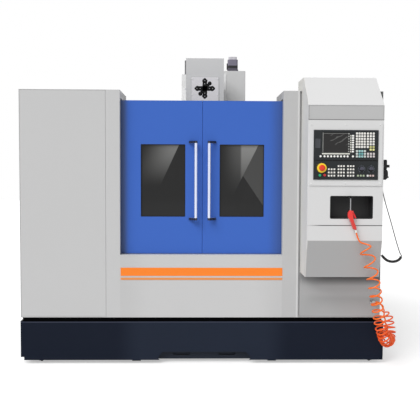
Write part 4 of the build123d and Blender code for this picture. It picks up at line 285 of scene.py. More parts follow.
class Tree:
    """A node tree with short calls for adding nodes and joining their sockets."""

    def __init__(self, tree, shader=None):
        self.tree = tree
        self.shader = shader

    def node(self, kind, **settings):
        made = self.tree.nodes.new("ShaderNode" + kind)
        for key, value in settings.items():
            setattr(made, key, value)
        return made

    def feed(self, socket, value):
        """Joins an output to a socket, or sets the socket to a plain value."""
        if isinstance(value, bpy.types.NodeSocket):
            self.tree.links.new(value, socket)
        else:
            socket.default_value = value

    def fill(self, node, *values, **named):
        """Feeds a node's inputs, in their order and by their names."""
        for socket, value in zip(node.inputs, values):
            self.feed(socket, value)
        for label, value in named.items():
            self.feed(node.inputs[label.replace("_", " ")], value)
        return node

    def math(self, operation, *values, clamp=False):
        return self.fill(self.node("Math", operation=operation, use_clamp=clamp), *values).outputs[0]

    def times(self, product, *factors, clamp=False):
        for factor in factors:
            product = self.math("MULTIPLY", product, factor, clamp=clamp)
        return product

    def linear(self, value, slope, start, clamp=False):
        return self.math("MULTIPLY_ADD", value, slope, start, clamp=clamp)

    def minus(self, value, other):
        return self.math("SUBTRACT", value, other)

    def ramp(self, value, low, high, out_low=0.0, out_high=1.0):
        made = self.node("MapRange", interpolation_type="SMOOTHSTEP")
        return self.fill(made, value, low, high, out_low, out_high).outputs[0]

    def inside(self, value, low, high, soft=0.0004):
        """1 between two values and 0 outside them."""
        return self.times(self.ramp(value, low - soft, low + soft),
                          self.ramp(value, high - soft, high + soft, 1.0, 0.0))

    def patch(self, u, v, left, right, low, high, soft):
        """1 inside a rectangle and 0 outside it."""
        return self.times(self.inside(u, left, right, soft), self.inside(v, low, high, soft))

    def blend(self, factor, low, high):
        made = self.node("Mix", data_type="RGBA")
        for at, value in ((0, factor), (6, low), (7, high)):
            self.feed(made.inputs[at], value)
        return made.outputs[2]

    def split(self, vector):
        return self.fill(self.node("SeparateXYZ"), vector).outputs

    def axes(self):
        """The three object coordinates, in metres."""
        return self.split(self.node("TexCoord").outputs["Object"])

    def coordinates(self, scale=(1, 1, 1), turn=(0, 0, 0)):
        source = self.node("TexCoord").outputs["Object"]
        return self.fill(self.node("Mapping"), Vector=source, Rotation=turn, Scale=scale).outputs[0]

    def noise(self, vector, scale, detail=3.0, rough=0.5):
        made = self.fill(self.node("TexNoise"), Vector=vector, Scale=scale, Detail=detail, Roughness=rough)
        return made.outputs["Fac"]

    def finish(self, colour, roughness, height=None, depth=0.0, **others):
        """Feeds the shader its colour, its roughness, other inputs and a bump of that depth, in metres."""
        self.fill(self.shader, Base_Color=colour, Roughness=roughness, **others)
        if height is not None:
            bump = self.fill(self.node("Bump"), Strength=1.0, Distance=depth, Height=height)
            self.fill(self.shader, Normal=bump.outputs[0])

    def mask(self, rules):
        """The product of one mask for each rule. A rule is an axis, or an axis and a place that the distance
        is measured from, then ramp or inside, then the numbers that these take."""
        axes = dict(zip("xyz", self.axes()))
        shapes = {"ramp": self.ramp, "inside": self.inside}
        parts = []
        for axis, shape, *numbers in rules:
            value = axes[axis[0]]
            if len(axis) == 2:
                value = self.math("ABSOLUTE", self.minus(value, axis[1]))
            parts.append(shapes[shape](value, *numbers))
        return self.times(*parts)


def effect(name, inputs, outputs):
    """A shader node group with named inputs, each with its default, and named outputs."""
    group = bpy.data.node_groups.new(name, "ShaderNodeTree")
    for label, value in inputs.items():
        kind = {3: "Vector", 4: "Color"}[len(value)] if isinstance(value, tuple) else "Float"
        socket = group.interface.new_socket(label, in_out="INPUT", socket_type="NodeSocket" + kind)
        socket.default_value = value
    for label in outputs:
        kind = "Color" if label == "Colour" else "Float"
        group.interface.new_socket(label, in_out="OUTPUT", socket_type="NodeSocket" + kind)
    return Tree(group), group.nodes.new("NodeGroupInput").outputs, group.nodes.new("NodeGroupOutput")


def use(tree, name, **values):
    """Places an effect in a tree, with its values, and returns its outputs."""
    return tree.fill(tree.node("Group", node_tree=bpy.data.node_groups[name]), **values).outputs


def build_effects():
    """Orange peel and mottle, edge wear, settled dust, brushed lines, cast grain and wipe marks."""
    inputs = {"Colour": (0.5, 0.5, 0.5, 1), "Mottle": 0.02, "Roughness": 0.35}
    tree, given, end = effect("Enamel skin", inputs, ["Colour", "Roughness", "Height"])
    where = tree.coordinates()
    cloud = tree.minus(tree.noise(where, 2.3, 4.0, 0.55), 0.5)
    fine = tree.minus(tree.noise(where, 60.0, 2.0), 0.5)
    lift = tree.linear(cloud, tree.times(given[1], 2.0), 1.0)
    lift = tree.linear(fine, tree.times(given[1], 0.5), lift)
    scaled = tree.fill(tree.node("VectorMath", operation="SCALE"), given[0], Scale=lift).outputs[0]
    tree.fill(end, scaled, tree.linear(fine, 0.12, given[2]), tree.noise(where, 420.0, 2.0))

    tree, given, end = effect("Edge wear", {"Width": 0.002, "Amount": 0.5}, ["Mask"])
    soft = tree.fill(tree.node("Bevel", samples=4), Radius=given[0]).outputs[0]
    flat = tree.node("NewGeometry").outputs["Normal"]
    facing = tree.fill(tree.node("VectorMath", operation="DOT_PRODUCT"), soft, flat).outputs["Value"]
    edge = tree.ramp(facing, 0.995, 0.9)
    broken = tree.ramp(tree.noise(tree.coordinates(), 34.0, 5.0, 0.7), 0.42, 0.62)
    tree.fill(end, tree.times(edge, broken, given[1], clamp=True))

    tree, given, end = effect("Settled dust", {"Amount": 0.3}, ["Mask"])
    level = tree.ramp(tree.split(tree.node("NewGeometry").outputs["Normal"])[2], 0.75, 0.98)
    cloud = tree.ramp(tree.noise(tree.coordinates(), 5.0, 5.0, 0.6), 0.3, 0.75)
    tree.fill(end, tree.times(level, cloud, given[0], clamp=True))

    tree, given, end = effect("Brushed lines", {"Stretch": (1, 1, 1), "Scale": 30.0}, ["Value", "Height"])
    pulled = tree.fill(tree.node("VectorMath", operation="MULTIPLY"), tree.coordinates(), given[0]).outputs[0]
    lines = tree.noise(pulled, given[1], 4.0, 0.6)
    tree.fill(end, lines, lines)

    tree, given, end = effect("Cast grain", {"Scale": 260.0}, ["Height", "Value"])
    cells = tree.fill(tree.node("TexVoronoi"), Vector=tree.coordinates(), Scale=given[0]).outputs["Distance"]
    rough = tree.noise(tree.coordinates(), 90.0, 6.0, 0.7)
    tree.fill(end, tree.linear(cells, 0.6, rough), rough)

    tree, given, end = effect("Wipe marks", {"Amount": 0.2, "Scale": 4.0}, ["Mask"])
    where = tree.coordinates(scale=(1.0, 1.0, 0.25), turn=(0, 0.6, 0))
    smear = tree.ramp(tree.noise(where, given[1], 6.0, 0.7), 0.48, 0.75)
    tree.fill(end, tree.times(smear, given[0], clamp=True))


# Materials


def new_material(name):
    material = bpy.data.materials.new(name)
    material.use_nodes = True
    return material, Tree(material.node_tree, material.node_tree.nodes["Principled BSDF"])


def dim(colour, share):
    """A share of a colour's strength."""
    return (*[part * share for part in colour[:3]], 1.0)


def enamel(name, colour, roughness=0.42, mottle=0.012, wear=0.2, dust=0.25, peel=0.00004, gloss=0.3,
           under=tone(150, 150, 148), zones=()):
    """Sprayed enamel: mottled colour, orange peel, primer showing on worn edges, dust on what lies level. A
    zone is another tone and the rules of its mask: two-tone paint, seams, and painted shade and highlights."""
    material, tree = new_material(name)
    for other, *rules in zones:
        colour = tree.blend(tree.mask(rules), colour, other)
    skin = use(tree, "Enamel skin", Colour=colour, Mottle=mottle, Roughness=roughness)
    worn = use(tree, "Edge wear", Width=0.0018, Amount=wear)[0]
    settled = use(tree, "Settled dust", Amount=dust)[0]
    shade = tree.blend(settled, tree.blend(worn, skin[0], under), tone(170, 168, 162))
    tree.finish(shade, tree.linear(settled, 0.3, skin[1], clamp=True), skin[2], peel,
                Specular_IOR_Level=gloss)
    return material


def bare_metal(name, colour, roughness=0.3, stretch=(1, 1, 40), scale=25.0, contrast=0.25, oil=0.2):
    """Metal with lines along its grinding or rolling direction, and thin smears of oil."""
    material, tree = new_material(name)
    lines = use(tree, "Brushed lines", Stretch=stretch, Scale=scale)
    smear = use(tree, "Wipe marks", Amount=oil, Scale=6.0)[0]
    shade = tree.blend(smear, tree.blend(lines[0], dim(colour, 1 - contrast), colour), dim(colour, 0.6))
    tree.finish(shade, tree.linear(lines[0], 0.22, roughness - 0.08), lines[1], 0.00003, Metallic=1.0)
    return material


def casting(name, colour):
    """Enamel over a sand casting, with chips at its edges and dust on what lies level."""
    material, tree = new_material(name)
    height, value = use(tree, "Cast grain", Scale=240.0)
    worn = use(tree, "Edge wear", Width=0.004, Amount=0.6)[0]
    settled = use(tree, "Settled dust", Amount=0.25)[0]
    shade = tree.blend(worn, tree.blend(value, dim(colour, 0.86), colour), tone(96, 92, 88))
    shade = tree.blend(settled, shade, tone(150, 146, 138))
    tree.finish(shade, tree.linear(value, 0.2, 0.4), height, 0.00035)
    return material


def moulded(name, colour, roughness=0.45, grain=0.00008, coat=0.0, scuff=0.12):
    """Moulded plastic with a spark-eroded grain, paler where hands have polished its edges."""
    material, tree = new_material(name)
    height, value = use(tree, "Cast grain", Scale=1400.0)
    worn = use(tree, "Edge wear", Width=0.0012, Amount=0.35)[0]
    smear = use(tree, "Wipe marks", Amount=scuff, Scale=9.0)[0]
    pale = (*[min(1.0, part * 1.5 + 0.03) for part in colour[:3]], 1.0)
    shade = tree.blend(tree.math("ADD", worn, smear, clamp=True), colour, pale)
    tree.finish(shade, tree.linear(value, 0.15, roughness - 0.07), height, grain, Specular_IOR_Level=0.25,
                Coat_Weight=coat)
    return material


def dress(material, *names):
    """Gives CAD nodes or new pieces a material in place of all their own."""
    for name in names:
        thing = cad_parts.get(name) or bpy.data.objects[name]
        thing.data.materials.clear()
        thing.data.materials.append(material)


def add(name, grids, material, slot="operator_black", body="frame", **options):
    """A new piece with its material, that moves with a body. Its slot is not used."""
    piece = surface(name, grids, **options)
    dress(material, name)
    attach(piece, body)
    return piece


# The routes of the two cords, and the heights at which the hose's coil starts, leans right and left, and ends
HOSE_ROUTE = np.array([(990, -1135, 949), (1000, -1135, 911), (1017, -1139, 884), (1043, -1147, 866),
                       (1066, -1147, 800), (1085, -1145, 725), (1103, -1140, 650), (1119, -1133, 575),
                       (1134, -1120, 500), (1151, -1102, 425), (1171, -1078, 345), (1198, -1050, 265),
                       (1234, -1008, 199), (1274, -942, 196), (1290, -898, 264), (1277, -888, 335),
                       (1250, -880, 395), (1241.3, -877.3, 415), (1230, -868, 432), (1214, -860, 440),
                       (1196, -860, 440)]) / 1000
CORD_ROUTE = np.array([(1196, -980, 1290), (1197, -980, 1228), (1216, -984, 1150), (1241, -988, 1065),
                       (1265, -991, 985), (1287, -994, 905), (1306, -997, 840), (1322, -998, 795),
                       (1331, -998, 772), (1314, -995, 750), (1284, -990, 738), (1248, -982, 741),
                       (1222, -970, 760), (1206, -958, 785), (1168, -958, 785)]) / 1000
COIL_STARTS = 0.888
FIRST_RIGHT = 0.861
LEFT_EXTREMES = (0.816, 0.727, 0.646, 0.586, 0.530, 0.474, 0.428, 0.381, 0.345, 0.302)
COIL_ENDS = 0.395


def lay_cord(name, node, path, radius, sides, material, slot, **facts):
    """A cord along a path, in place of the CAD node that stands for it. The facts given about it are not
    used.
    """
    cord = add(name, tube(path, radius, sides), material, slot)
    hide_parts(node)


class MACHINING_OT_camera(bpy.types.Operator):
    """Set the camera where the picture was taken from"""

    bl_idname = "machining.camera"
    bl_label = "Camera"

    def execute(self, context):
        pitch, yaw, roll = 0.0507, -0.0195, 0.0041
        focal, shift, picture, sensor = 652.0, -5.5, 420.0, 36.0
        turns = Matrix.Rotation(yaw, 3, "Z") @ Matrix.Rotation(-pitch, 3, "X")
        level = Matrix.Rotation(-roll, 3, "Y") @ Matrix(((1, 0, 0), (0, 0, -1), (0, 1, 0)))
        data = bpy.data.cameras.new("camera")
        data.sensor_width = sensor
        data.lens = focal * sensor / picture
        data.shift_y = shift / picture
        data.clip_end = 80.0
        camera = bpy.data.objects.new("camera", data)
        camera.matrix_world = Matrix.Translation((-0.0414, -5.33, 1.3414)) @ (turns @ level).to_4x4()
        context.scene.collection.objects.link(camera)
        context.scene.camera = camera
        return {"FINISHED"}


class MACHINING_OT_air_hose(bpy.types.Operator):
    """Wind the curly air hose between its gun and its outlet"""

    bl_idname = "machining.air_hose"
    bl_label = "Air hose"

    def execute(self, context):
        sizes = context.scene.machining_cords
        steps, rings = 1500, 2800
        line = even_points(read_route(HOSE_ROUTE), steps)
        at = np.arange(len(line), dtype=float)
        lowest = int(np.argmin(line[:, 2]))
        heights = np.array([COIL_STARTS, FIRST_RIGHT, *LEFT_EXTREMES])
        start, first_right, *extremes = np.interp(-heights, -line[:lowest, 2], at[:lowest])
        end = np.interp(COIL_ENDS, line[lowest:, 2], at[lowest:])
        marks = np.r_[start - 1, start, first_right, extremes, (extremes[-1] + lowest) / 2 + 20, lowest + 30,
                      (lowest + end) / 2 + 20, end, end + 1]
        counts = np.r_[-0.56, -0.56, -0.5, np.arange(len(extremes)), 12.4, 17.4, 21.4, 24.6, 24.6]
        reach = 10
        window = 2 * reach + 1
        turns = np.pad(np.interp(at, marks, counts), reach, mode="edge")
        turns = np.convolve(turns, np.ones(window) / window, mode="valid")
        swell = eased((at - start) / (0.95 * (first_right - start))) * eased((end - at) / 70.0)
        taper = np.interp(at, [start, 0.6 * lowest, 0.92 * lowest, lowest + 40, end],
                          [1.24, 1.04, 1.08, 1.18, 0.94])
        loose = 1 + 0.04 * np.sin(2.3 * turns) * np.clip((turns - 8) / 3, 0, 1)
        radius = sizes.hose_coil * swell * taper * loose
        level = np.clip((extremes[0] - at) / (extremes[0] - first_right), 0, 1)
        path = even_points(wound(line, np.array([-0.88, 0.47, 0.0]), radius, turns, level), rings)
        material, tree = new_material("Hose polyurethane")
        cloud = use(tree, "Wipe marks", Amount=0.5, Scale=12.0)[0]
        # Redder towards the low, dense coils, as painted light bounced between the turns, and in random
        # blotches where the wipe-mark cloud is strong.
        redder_bounce_and_blotches = tree.math("MAXIMUM", tree.ramp(tree.axes()[2], 0.42, 0.30, 0.0, 0.6), cloud)
        colour = tree.blend(redder_bounce_and_blotches, context.scene.machining_colours.hose, tone(244, 80, 26))
        tree.finish(colour, tree.linear(cloud, 0.2, 0.28), tree.noise(tree.coordinates(), 300.0), 0.00005,
                    Specular_IOR_Level=0.3, Subsurface_Weight=0.15, Subsurface_Scale=0.004)
        lay_cord("curly_hose", "air_hose", path, sizes.hose_radius, sizes.sides, material, "hose_orange",
                 exit=tuple(HOSE_ROUTE[0].tolist()), far_end="connector", with_pieces=["hose_coupler"])
        return {"FINISHED"}


class MACHINING_OT_pendant_cord(bpy.types.Operator):
    """Run the pendant's cord down to its tight coil and into the console"""

    bl_idname = "machining.pendant_cord"
    bl_label = "Pendant cord"

    def execute(self, context):
        sizes = context.scene.machining_cords
        steps, rings, sides = 4000, 2600, 8
        line = even_points(read_route(CORD_ROUTE), steps)
        far = along(line)
        knee_height, farthest_knee = 0.793, 0.75
        knee = far[int(np.argmin(np.abs(line[:, 2] - knee_height) + (far > farthest_knee) * 9))]
        before_knee, tail, swelling, first_wind, winding = 0.010, 0.014, 0.024, 0.019, 0.010
        pitch = 2 * sizes.cord_radius * 1.06
        inside = np.minimum(far - knee + before_knee, far[-1] - tail - far)
        radius = sizes.cord_coil * eased(inside / swelling)
        steepest = math.atan(2 * math.pi * sizes.cord_coil / pitch)
        slope = np.tan(np.arcsin(math.sin(steepest) * np.clip((inside - first_wind) / winding, 0, 1)))
        rate = slope / (2 * math.pi * np.maximum(radius, 0.5 * sizes.cord_coil))
        turns = np.r_[0, np.cumsum(0.5 * (rate[1:] + rate[:-1]) * np.diff(far))]
        path = even_points(wound(line, np.array([0.3, -0.95, 0.0]), radius, turns), rings)
        material, tree = new_material("Cord jacket")
        fine = tree.noise(tree.coordinates(), 240.0)
        tree.finish(tree.blend(fine, tone(8, 8, 9), tone(20, 20, 21)), tree.linear(fine, 0.2, 0.32), fine,
                    0.00005)
        lay_cord("pendant_curly_cord", "pendant_cord", path, sizes.cord_radius, sides, material, "cord_black",
                 exit=tuple(CORD_ROUTE[0].tolist()), far_end="object")
        sleeve = turned([place(1196, -150, 1290)],
                        [(0, 1), (7, 1), (7, -2), (6.2, -6), (5.6, -10), (6.2, -12), (5.4, -16), (4.6, -22),
                         (3.3, -28), (3.05, -28), (3.05, 0)], 20, (ACROSS, -OUT, UP))
        add("pendant_cord_sleeve", sleeve, material, "cord_black")
        return {"FINISHED"}


# Rules that more than one zone of enamel uses
BESIDE_CONSOLE = ("x", "ramp", 0.644, 0.647)
CONSOLE_FRONT = ("y", "ramp", -1.106, -1.108)
CONSOLE_SIDE = ("x", "ramp", 0.678, 0.6765)


class MACHINING_OT_enamels(bpy.types.Operator):
    """Spray the guards, doors, console, base and cabinets, and paint shade and highlights on some of them"""

    bl_idname = "machining.enamels"
    bl_label = "Enamels"

    def execute(self, context):
        colours = context.scene.machining_colours
        dress(enamel("Guard enamel", colours.guard), "left_guard", "enclosure_walls", "electrical_cabinet",
              "cabinet_door", "magazine_carriage")
        # The right guard is a darker copy of the guard enamel, as painted shade from the console, with a
        # painted highlight down the pillar's edge beside the console.
        dress(enamel("Right guard enamel with painted shade", tone(188), zones=[
            (tone(208), ("x", "inside", 0.649, 0.664, 0.002))]), "right_guard")
        # Beside and under the console the front panel is painted darker as the console's shadow: darkest just
        # under its chin, and darker towards the left and low down. The paler band between is painted light
        # that lifts part of the lamp's real shadow.
        dress(enamel("Front panel enamel with painted shadow", colours.guard, zones=[
            (tone(182), BESIDE_CONSOLE),
            (tone(167), BESIDE_CONSOLE, ("x", "ramp", 0.78, 0.66)),
            (tone(196), ("z", "inside", 0.47, 0.56, 0.02), ("x", "ramp", 0.72, 0.86)),
            (tone(167), BESIDE_CONSOLE, ("x", "ramp", 0.70, 0.90, 1.0, 0.35), ("z", "ramp", 0.51, 0.45)),
            (tone(92), BESIDE_CONSOLE, ("x", "ramp", 0.66, 0.88, 0.55, 1.0), ("z", "ramp", 0.538, 0.614))]),
              "guard_front_panels")
        dress(enamel("Head cover enamel", tone(208)), "head_covers")
        # The drive box is painted paler than the guards, as painted light against the shadow that the head
        # casts on it.
        dress(enamel("Drive box enamel", tone(215)), "z_drive_box")
        dress(enamel("Centre panel enamel", colours.panel, 0.38, 0.015, 0.15, 0.2, zones=[
            (tone(194), (("x", 0.0), "ramp", 0.34, 0.56))]), "lower_front_panel")
        dress(enamel("Console enamel", colours.console, 0.36, 0.01, 0.15, 0.15, zones=[
            (colours.band, ("z", "inside", 1.681, 1.7715), CONSOLE_FRONT),
            (colours.shade, ("z", "ramp", 0.8935, 0.8925), (("x", 0.921), "ramp", 0.2448, 0.2440)),
            (tone(96), CONSOLE_FRONT, ("z", "inside", 0.990, 0.9955), ("x", "ramp", 0.69, 0.78, 0.15, 1.0)),
            (tone(96), CONSOLE_FRONT, ("z", "inside", 1.6765, 1.6815)),
            # The console's left side is painted lighter and warmer, as painted light against its shade and
            # the blue light bounced from the doors, with a painted highlight along its front edge.
            (tone(221, 220, 215), CONSOLE_SIDE, ("y", "ramp", -1.1096, -1.1092)),
            (tone(244, 244, 240), CONSOLE_SIDE, ("y", "inside", -1.1094, -1.095, 0.0002))]),
              "console_housing", "panel_frame")
        # The darker strips by the doors' outer edges are painted shade from the guards beside them.
        dress(enamel("Door enamel", colours.door, 0.36, 0.02, 0.12, 0.1, 0.00004, 0.2, tone(30, 40, 78), [
            (tone(62, 88, 148), ("x", "ramp", 0.44, 0.55, 0.0, 0.8)),
            (tone(74, 94, 142), ("x", "ramp", -0.515, -0.56))]), "left_door", "right_door")
        dress(enamel("Base enamel", colours.base, 0.5, 0.05, 0.05, 0.0, 0.00004, 0.03, tone(44, 48, 60), [
            (tone(38, 44, 57), (("x", 0.0), "ramp", 0.62, 0.42)),
            (tone(1, 1, 2), ("z", "ramp", 0.2985, 0.2995)),
            # A painted highlight along the pan's top edge, just under the black rim.
            (tone(60, 64, 78), ("z", "inside", 0.290, 0.2965))]), "base_pan")
        dress(enamel("Band film", colours.bands, 0.3, 0.01, 0.0, 0.05, 0.00001, zones=[
            (tone(228, 146, 84), ("z", "ramp", 0.612, 0.608))]), "accent_bands")
        dress(enamel("Sign plate enamel", tone(226, 224, 226), 0.4, 0.01, 0.2, 0.0, zones=[
            (tone(196), (("x", 0.015), "ramp", 0.1035, 0.1045)),
            (tone(196), ("z", "ramp", 2.0715, 2.0725))]), "axis_sign_plate")
        dress(enamel("Black enamel", tone(22, 22, 24), 0.4, 0.05, 0.3, 0.2), "levelling_feet")
        dress(enamel("Cable channel enamel", tone(116, 116, 118), 0.4, 0.05, 0.3, 0.2), "cable_channel")
        return {"FINISHED"}


class MACHINING_OT_metals(bpy.types.Operator):
    """Finish the castings, guideways, covers, table, spindle and screws"""

    bl_idname = "machining.metals"
    bl_label = "Castings and bare metal"

    def execute(self, context):
        dress(casting("Casting enamel", context.scene.machining_colours.casting), "machine_bed", "saddle")
        # The column and spindle head are painted nearly white, paler than the other castings, as painted
        # light against the head's shade on them.
        dress(casting("Column enamel", tone(248)), "column", "spindle_head")
        dress(bare_metal("Ground iron", tone(168, 170, 172), 0.36, (60, 1, 1), 20.0), "table")
        dress(bare_metal("Ground guide steel", tone(200, 202, 206), 0.22, (1, 40, 40), 18.0, 0.15),
              "linear_rails", "door_rails", "spindle", "tool_carousel", "tool_holders", "x_screw", "y_screw",
              "z_screw")
        dress(bare_metal("Stainless cover", tone(196, 198, 200), 0.3, (1, 50, 50), 14.0, 0.2, 0.35),
              "fixed_way_covers", "saddle_covers", "y_front_cover_mid", "y_rear_cover_mid", "z_cover_mid",
              "table_wings")
        dress(bare_metal("Nickelled fitting", tone(176), 0.25, (1, 1, 1), 90.0, 0.2), "hose_coupler")
        dress(enamel("Tank enamel", tone(40, 46, 58), 0.45, 0.05, 0.3, 0.3, 0.00004, 0.15, tone(70, 74, 80)),
              "coolant_tank")

        zinc, tree = new_material("Zinc-coated sheet")
        cells = tree.fill(tree.node("TexVoronoi"), Vector=tree.coordinates(), Scale=55.0).outputs["Color"]
        flake = tree.fill(tree.node("SeparateColor"), cells).outputs[0]
        smear = use(tree, "Wipe marks", Amount=0.4, Scale=5.0)[0]
        shade = tree.blend(flake, tone(150, 155, 158), tone(192, 196, 198))
        shade = tree.blend(smear, shade, tone(104, 104, 100))
        tree.finish(shade, tree.linear(flake, 0.16, 0.34), Metallic=0.9)
        dress(zinc, "chip_tray")

        motor, tree = new_material("Motor enamel")
        up = tree.axes()[2]
        skin = use(tree, "Enamel skin", Colour=tone(119, 115, 131), Mottle=0.04, Roughness=0.45)
        cap = tree.math("GREATER_THAN", up, 2.347)
        shade = tree.blend(tree.ramp(up, 2.270, 2.268), skin[0], tone(84, 80, 92))
        shade = tree.blend(tree.inside(up, 2.268, 2.292), shade, tone(8, 8, 14))
        tree.finish(tree.blend(cap, shade, tone(198, 196, 202)), skin[1], skin[2], 0.00005,
                    Metallic=tree.times(cap, 0.3))
        dress(motor, "z_motor")
        plug = padded_box([place(225, 1452, 2290)], 9, 56, 2,
                          [(0, -12), (0, 0), (0.6, 1.2), (1.6, 1.8), (4.49, 1.8)], 4)
        add("motor_plug", plug, moulded("Plug shell", tone(26, 26, 30), 0.4))

        handle, tree = new_material("Handle tube and brackets")
        bar = tree.inside(tree.axes()[2], 1.018, 1.536)
        lines = use(tree, "Brushed lines", Stretch=(1, 1, 60), Scale=40.0)
        silver = tree.blend(lines[0], tone(208, 214, 236), tone(232, 238, 255))
        tree.finish(tree.blend(bar, tone(26, 32, 56), silver), tree.linear(lines[0], 0.15, 0.22), lines[1],
                    0.00002, Metallic=tree.times(bar, 0.75))
        dress(handle, "left_handle", "right_handle")
        return {"FINISHED"}


class MACHINING_OT_windows(bpy.types.Operator):
    """Glaze the doors with dark panes in rubber seals, with reflections painted on the panes"""

    bl_idname = "machining.windows"
    bl_label = "Door windows"

    def execute(self, context):
        rubber = moulded("Seal rubber", tone(20, 20, 21), 0.6)
        soft = 0.0015
        for side, name in ((-1, "left"), (1, "right")):
            middle = -0.006 + side * 0.275
            left = middle - 0.155
            glass, tree = new_material("Pane with painted reflection " + name)
            x, _, z = tree.axes()
            smear = use(tree, "Wipe marks", Amount=0.25, Scale=7.0)[0]
            # Each pane's bright slanted bands, fading towards the bottom, are painted reflections; the wipe
            # marks add a faint smear.
            height = tree.minus(z, 1.024)
            if side < 0:
                line = tree.minus(tree.linear(height, 0.463, left + 0.034), x)
                fade = tree.times(tree.ramp(height, 0.20, 0.52), tree.ramp(line, 0.26, 0.0))
                sheen = tree.times(tree.ramp(line, -soft, soft), fade, 0.17)
            else:
                upper = tree.minus(tree.linear(height, 0.5, left + 0.020), x)
                lower = tree.minus(x, tree.linear(height, -0.68, left + 0.360))
                lit = tree.times(tree.ramp(upper, -soft, soft),
                                 tree.ramp(x, left + 0.142, left + 0.158, 0.35, 1.0))
                fade = tree.times(tree.ramp(height, 0.12, 0.52), tree.ramp(x, left, left + 0.16))
                second = tree.times(tree.ramp(lower, -soft, soft), tree.ramp(upper, soft, -soft), 0.045)
                sheen = tree.linear(tree.times(lit, fade), 0.22, second)
            sheen = tree.linear(smear, 0.01, sheen)
            tree.finish(tree.blend(sheen, tone(30), (1.0, 1.0, 0.97, 1.0)), tree.linear(smear, 0.3, 0.06),
                        Specular_IOR_Level=0.25)
            dress(glass, name + "_window")
            seal = padded_box([place(1000 * middle, 59, 1276.5)], 310, 505, 5,
                              [(0, -9.4), (0, -1), (0.6, 0.4), (2.4, 0.6), (3.6, -0.4), (4.0, -9.4)], 6)
            add(name + "_window_seal", seal, rubber, body=name + "_door")
        strip = padded_box([place(-6.1, 64, 1298.5)], 1.3, 1060, 0.3,
                           [(0, -26), (0, 0), (0.2, 0.4), (0.64, 0.4)], 3)
        rubber = moulded("Door seal rubber", tone(50, 84, 160), 0.5, 0.00002)
        add("door_seal", strip, rubber, body="left_door")
        return {"FINISHED"}


FULL_KEY = 13.0


def key_centres():
    """Where each cap stands, how wide and high it is, and its colour, as rows of an array."""
    rows = []

    def block(x, z, across, up, cols, lines, width=FULL_KEY, shade=(244, 242, 236)):
        for i in range(cols * lines):
            col, line = i % cols, i // cols
            right, above = (col - (cols - 1) / 2) * across, (line - (lines - 1) / 2) * up
            rows.append((x + right, z + above, width, *shade))

    block(1013.5, 1546.5, 17.0, 17.3, 4, 6)
    block(1078, 1546.5, 18.5, 17.3, 3, 6)
    block(1088, 1486.0, 18.0, 17.3, 2, 1, shade=(238, 236, 160))
    block(1015.5, 1459.2, 17.2, 17.4, 4, 3, shade=(208, 216, 212))
    block(1080.4, 1450.7, 18.6, 17.1, 3, 2, shade=(220, 212, 212))
    block(826.5, 1337.8, 18.1, 20.7, 3, 3, 11.0)
    block(889.0, 1348.2, 17.3, 20.7, 3, 4, 11.0)
    block(950.6, 1348.2, 17.7, 20.7, 3, 4, 11.0)
    block(1016.8, 1317.7, 18.1, 18.1, 3, 1, 11.8, shade=(176, 190, 160))
    block(1079.5, 1317.7, 17.7, 17.7, 3, 1, 11.8, shade=(214, 190, 186))
    table = np.array(rows)
    table[25:27, 3:] = (206, 204, 138)
    table[[45, 46, 53, 54], 3:] = (164, 208, 208)
    table[49:51, 3:] = (112, 178, 180)
    table[-3, 3:] = (244, 244, 240)
    return table


SOFT_KEY_HEIGHTS = [1473.2 + 14.5 * row for row in range(8)]
DIAL_CENTRES = ((1022.5, 1361), (1083.0, 1361))


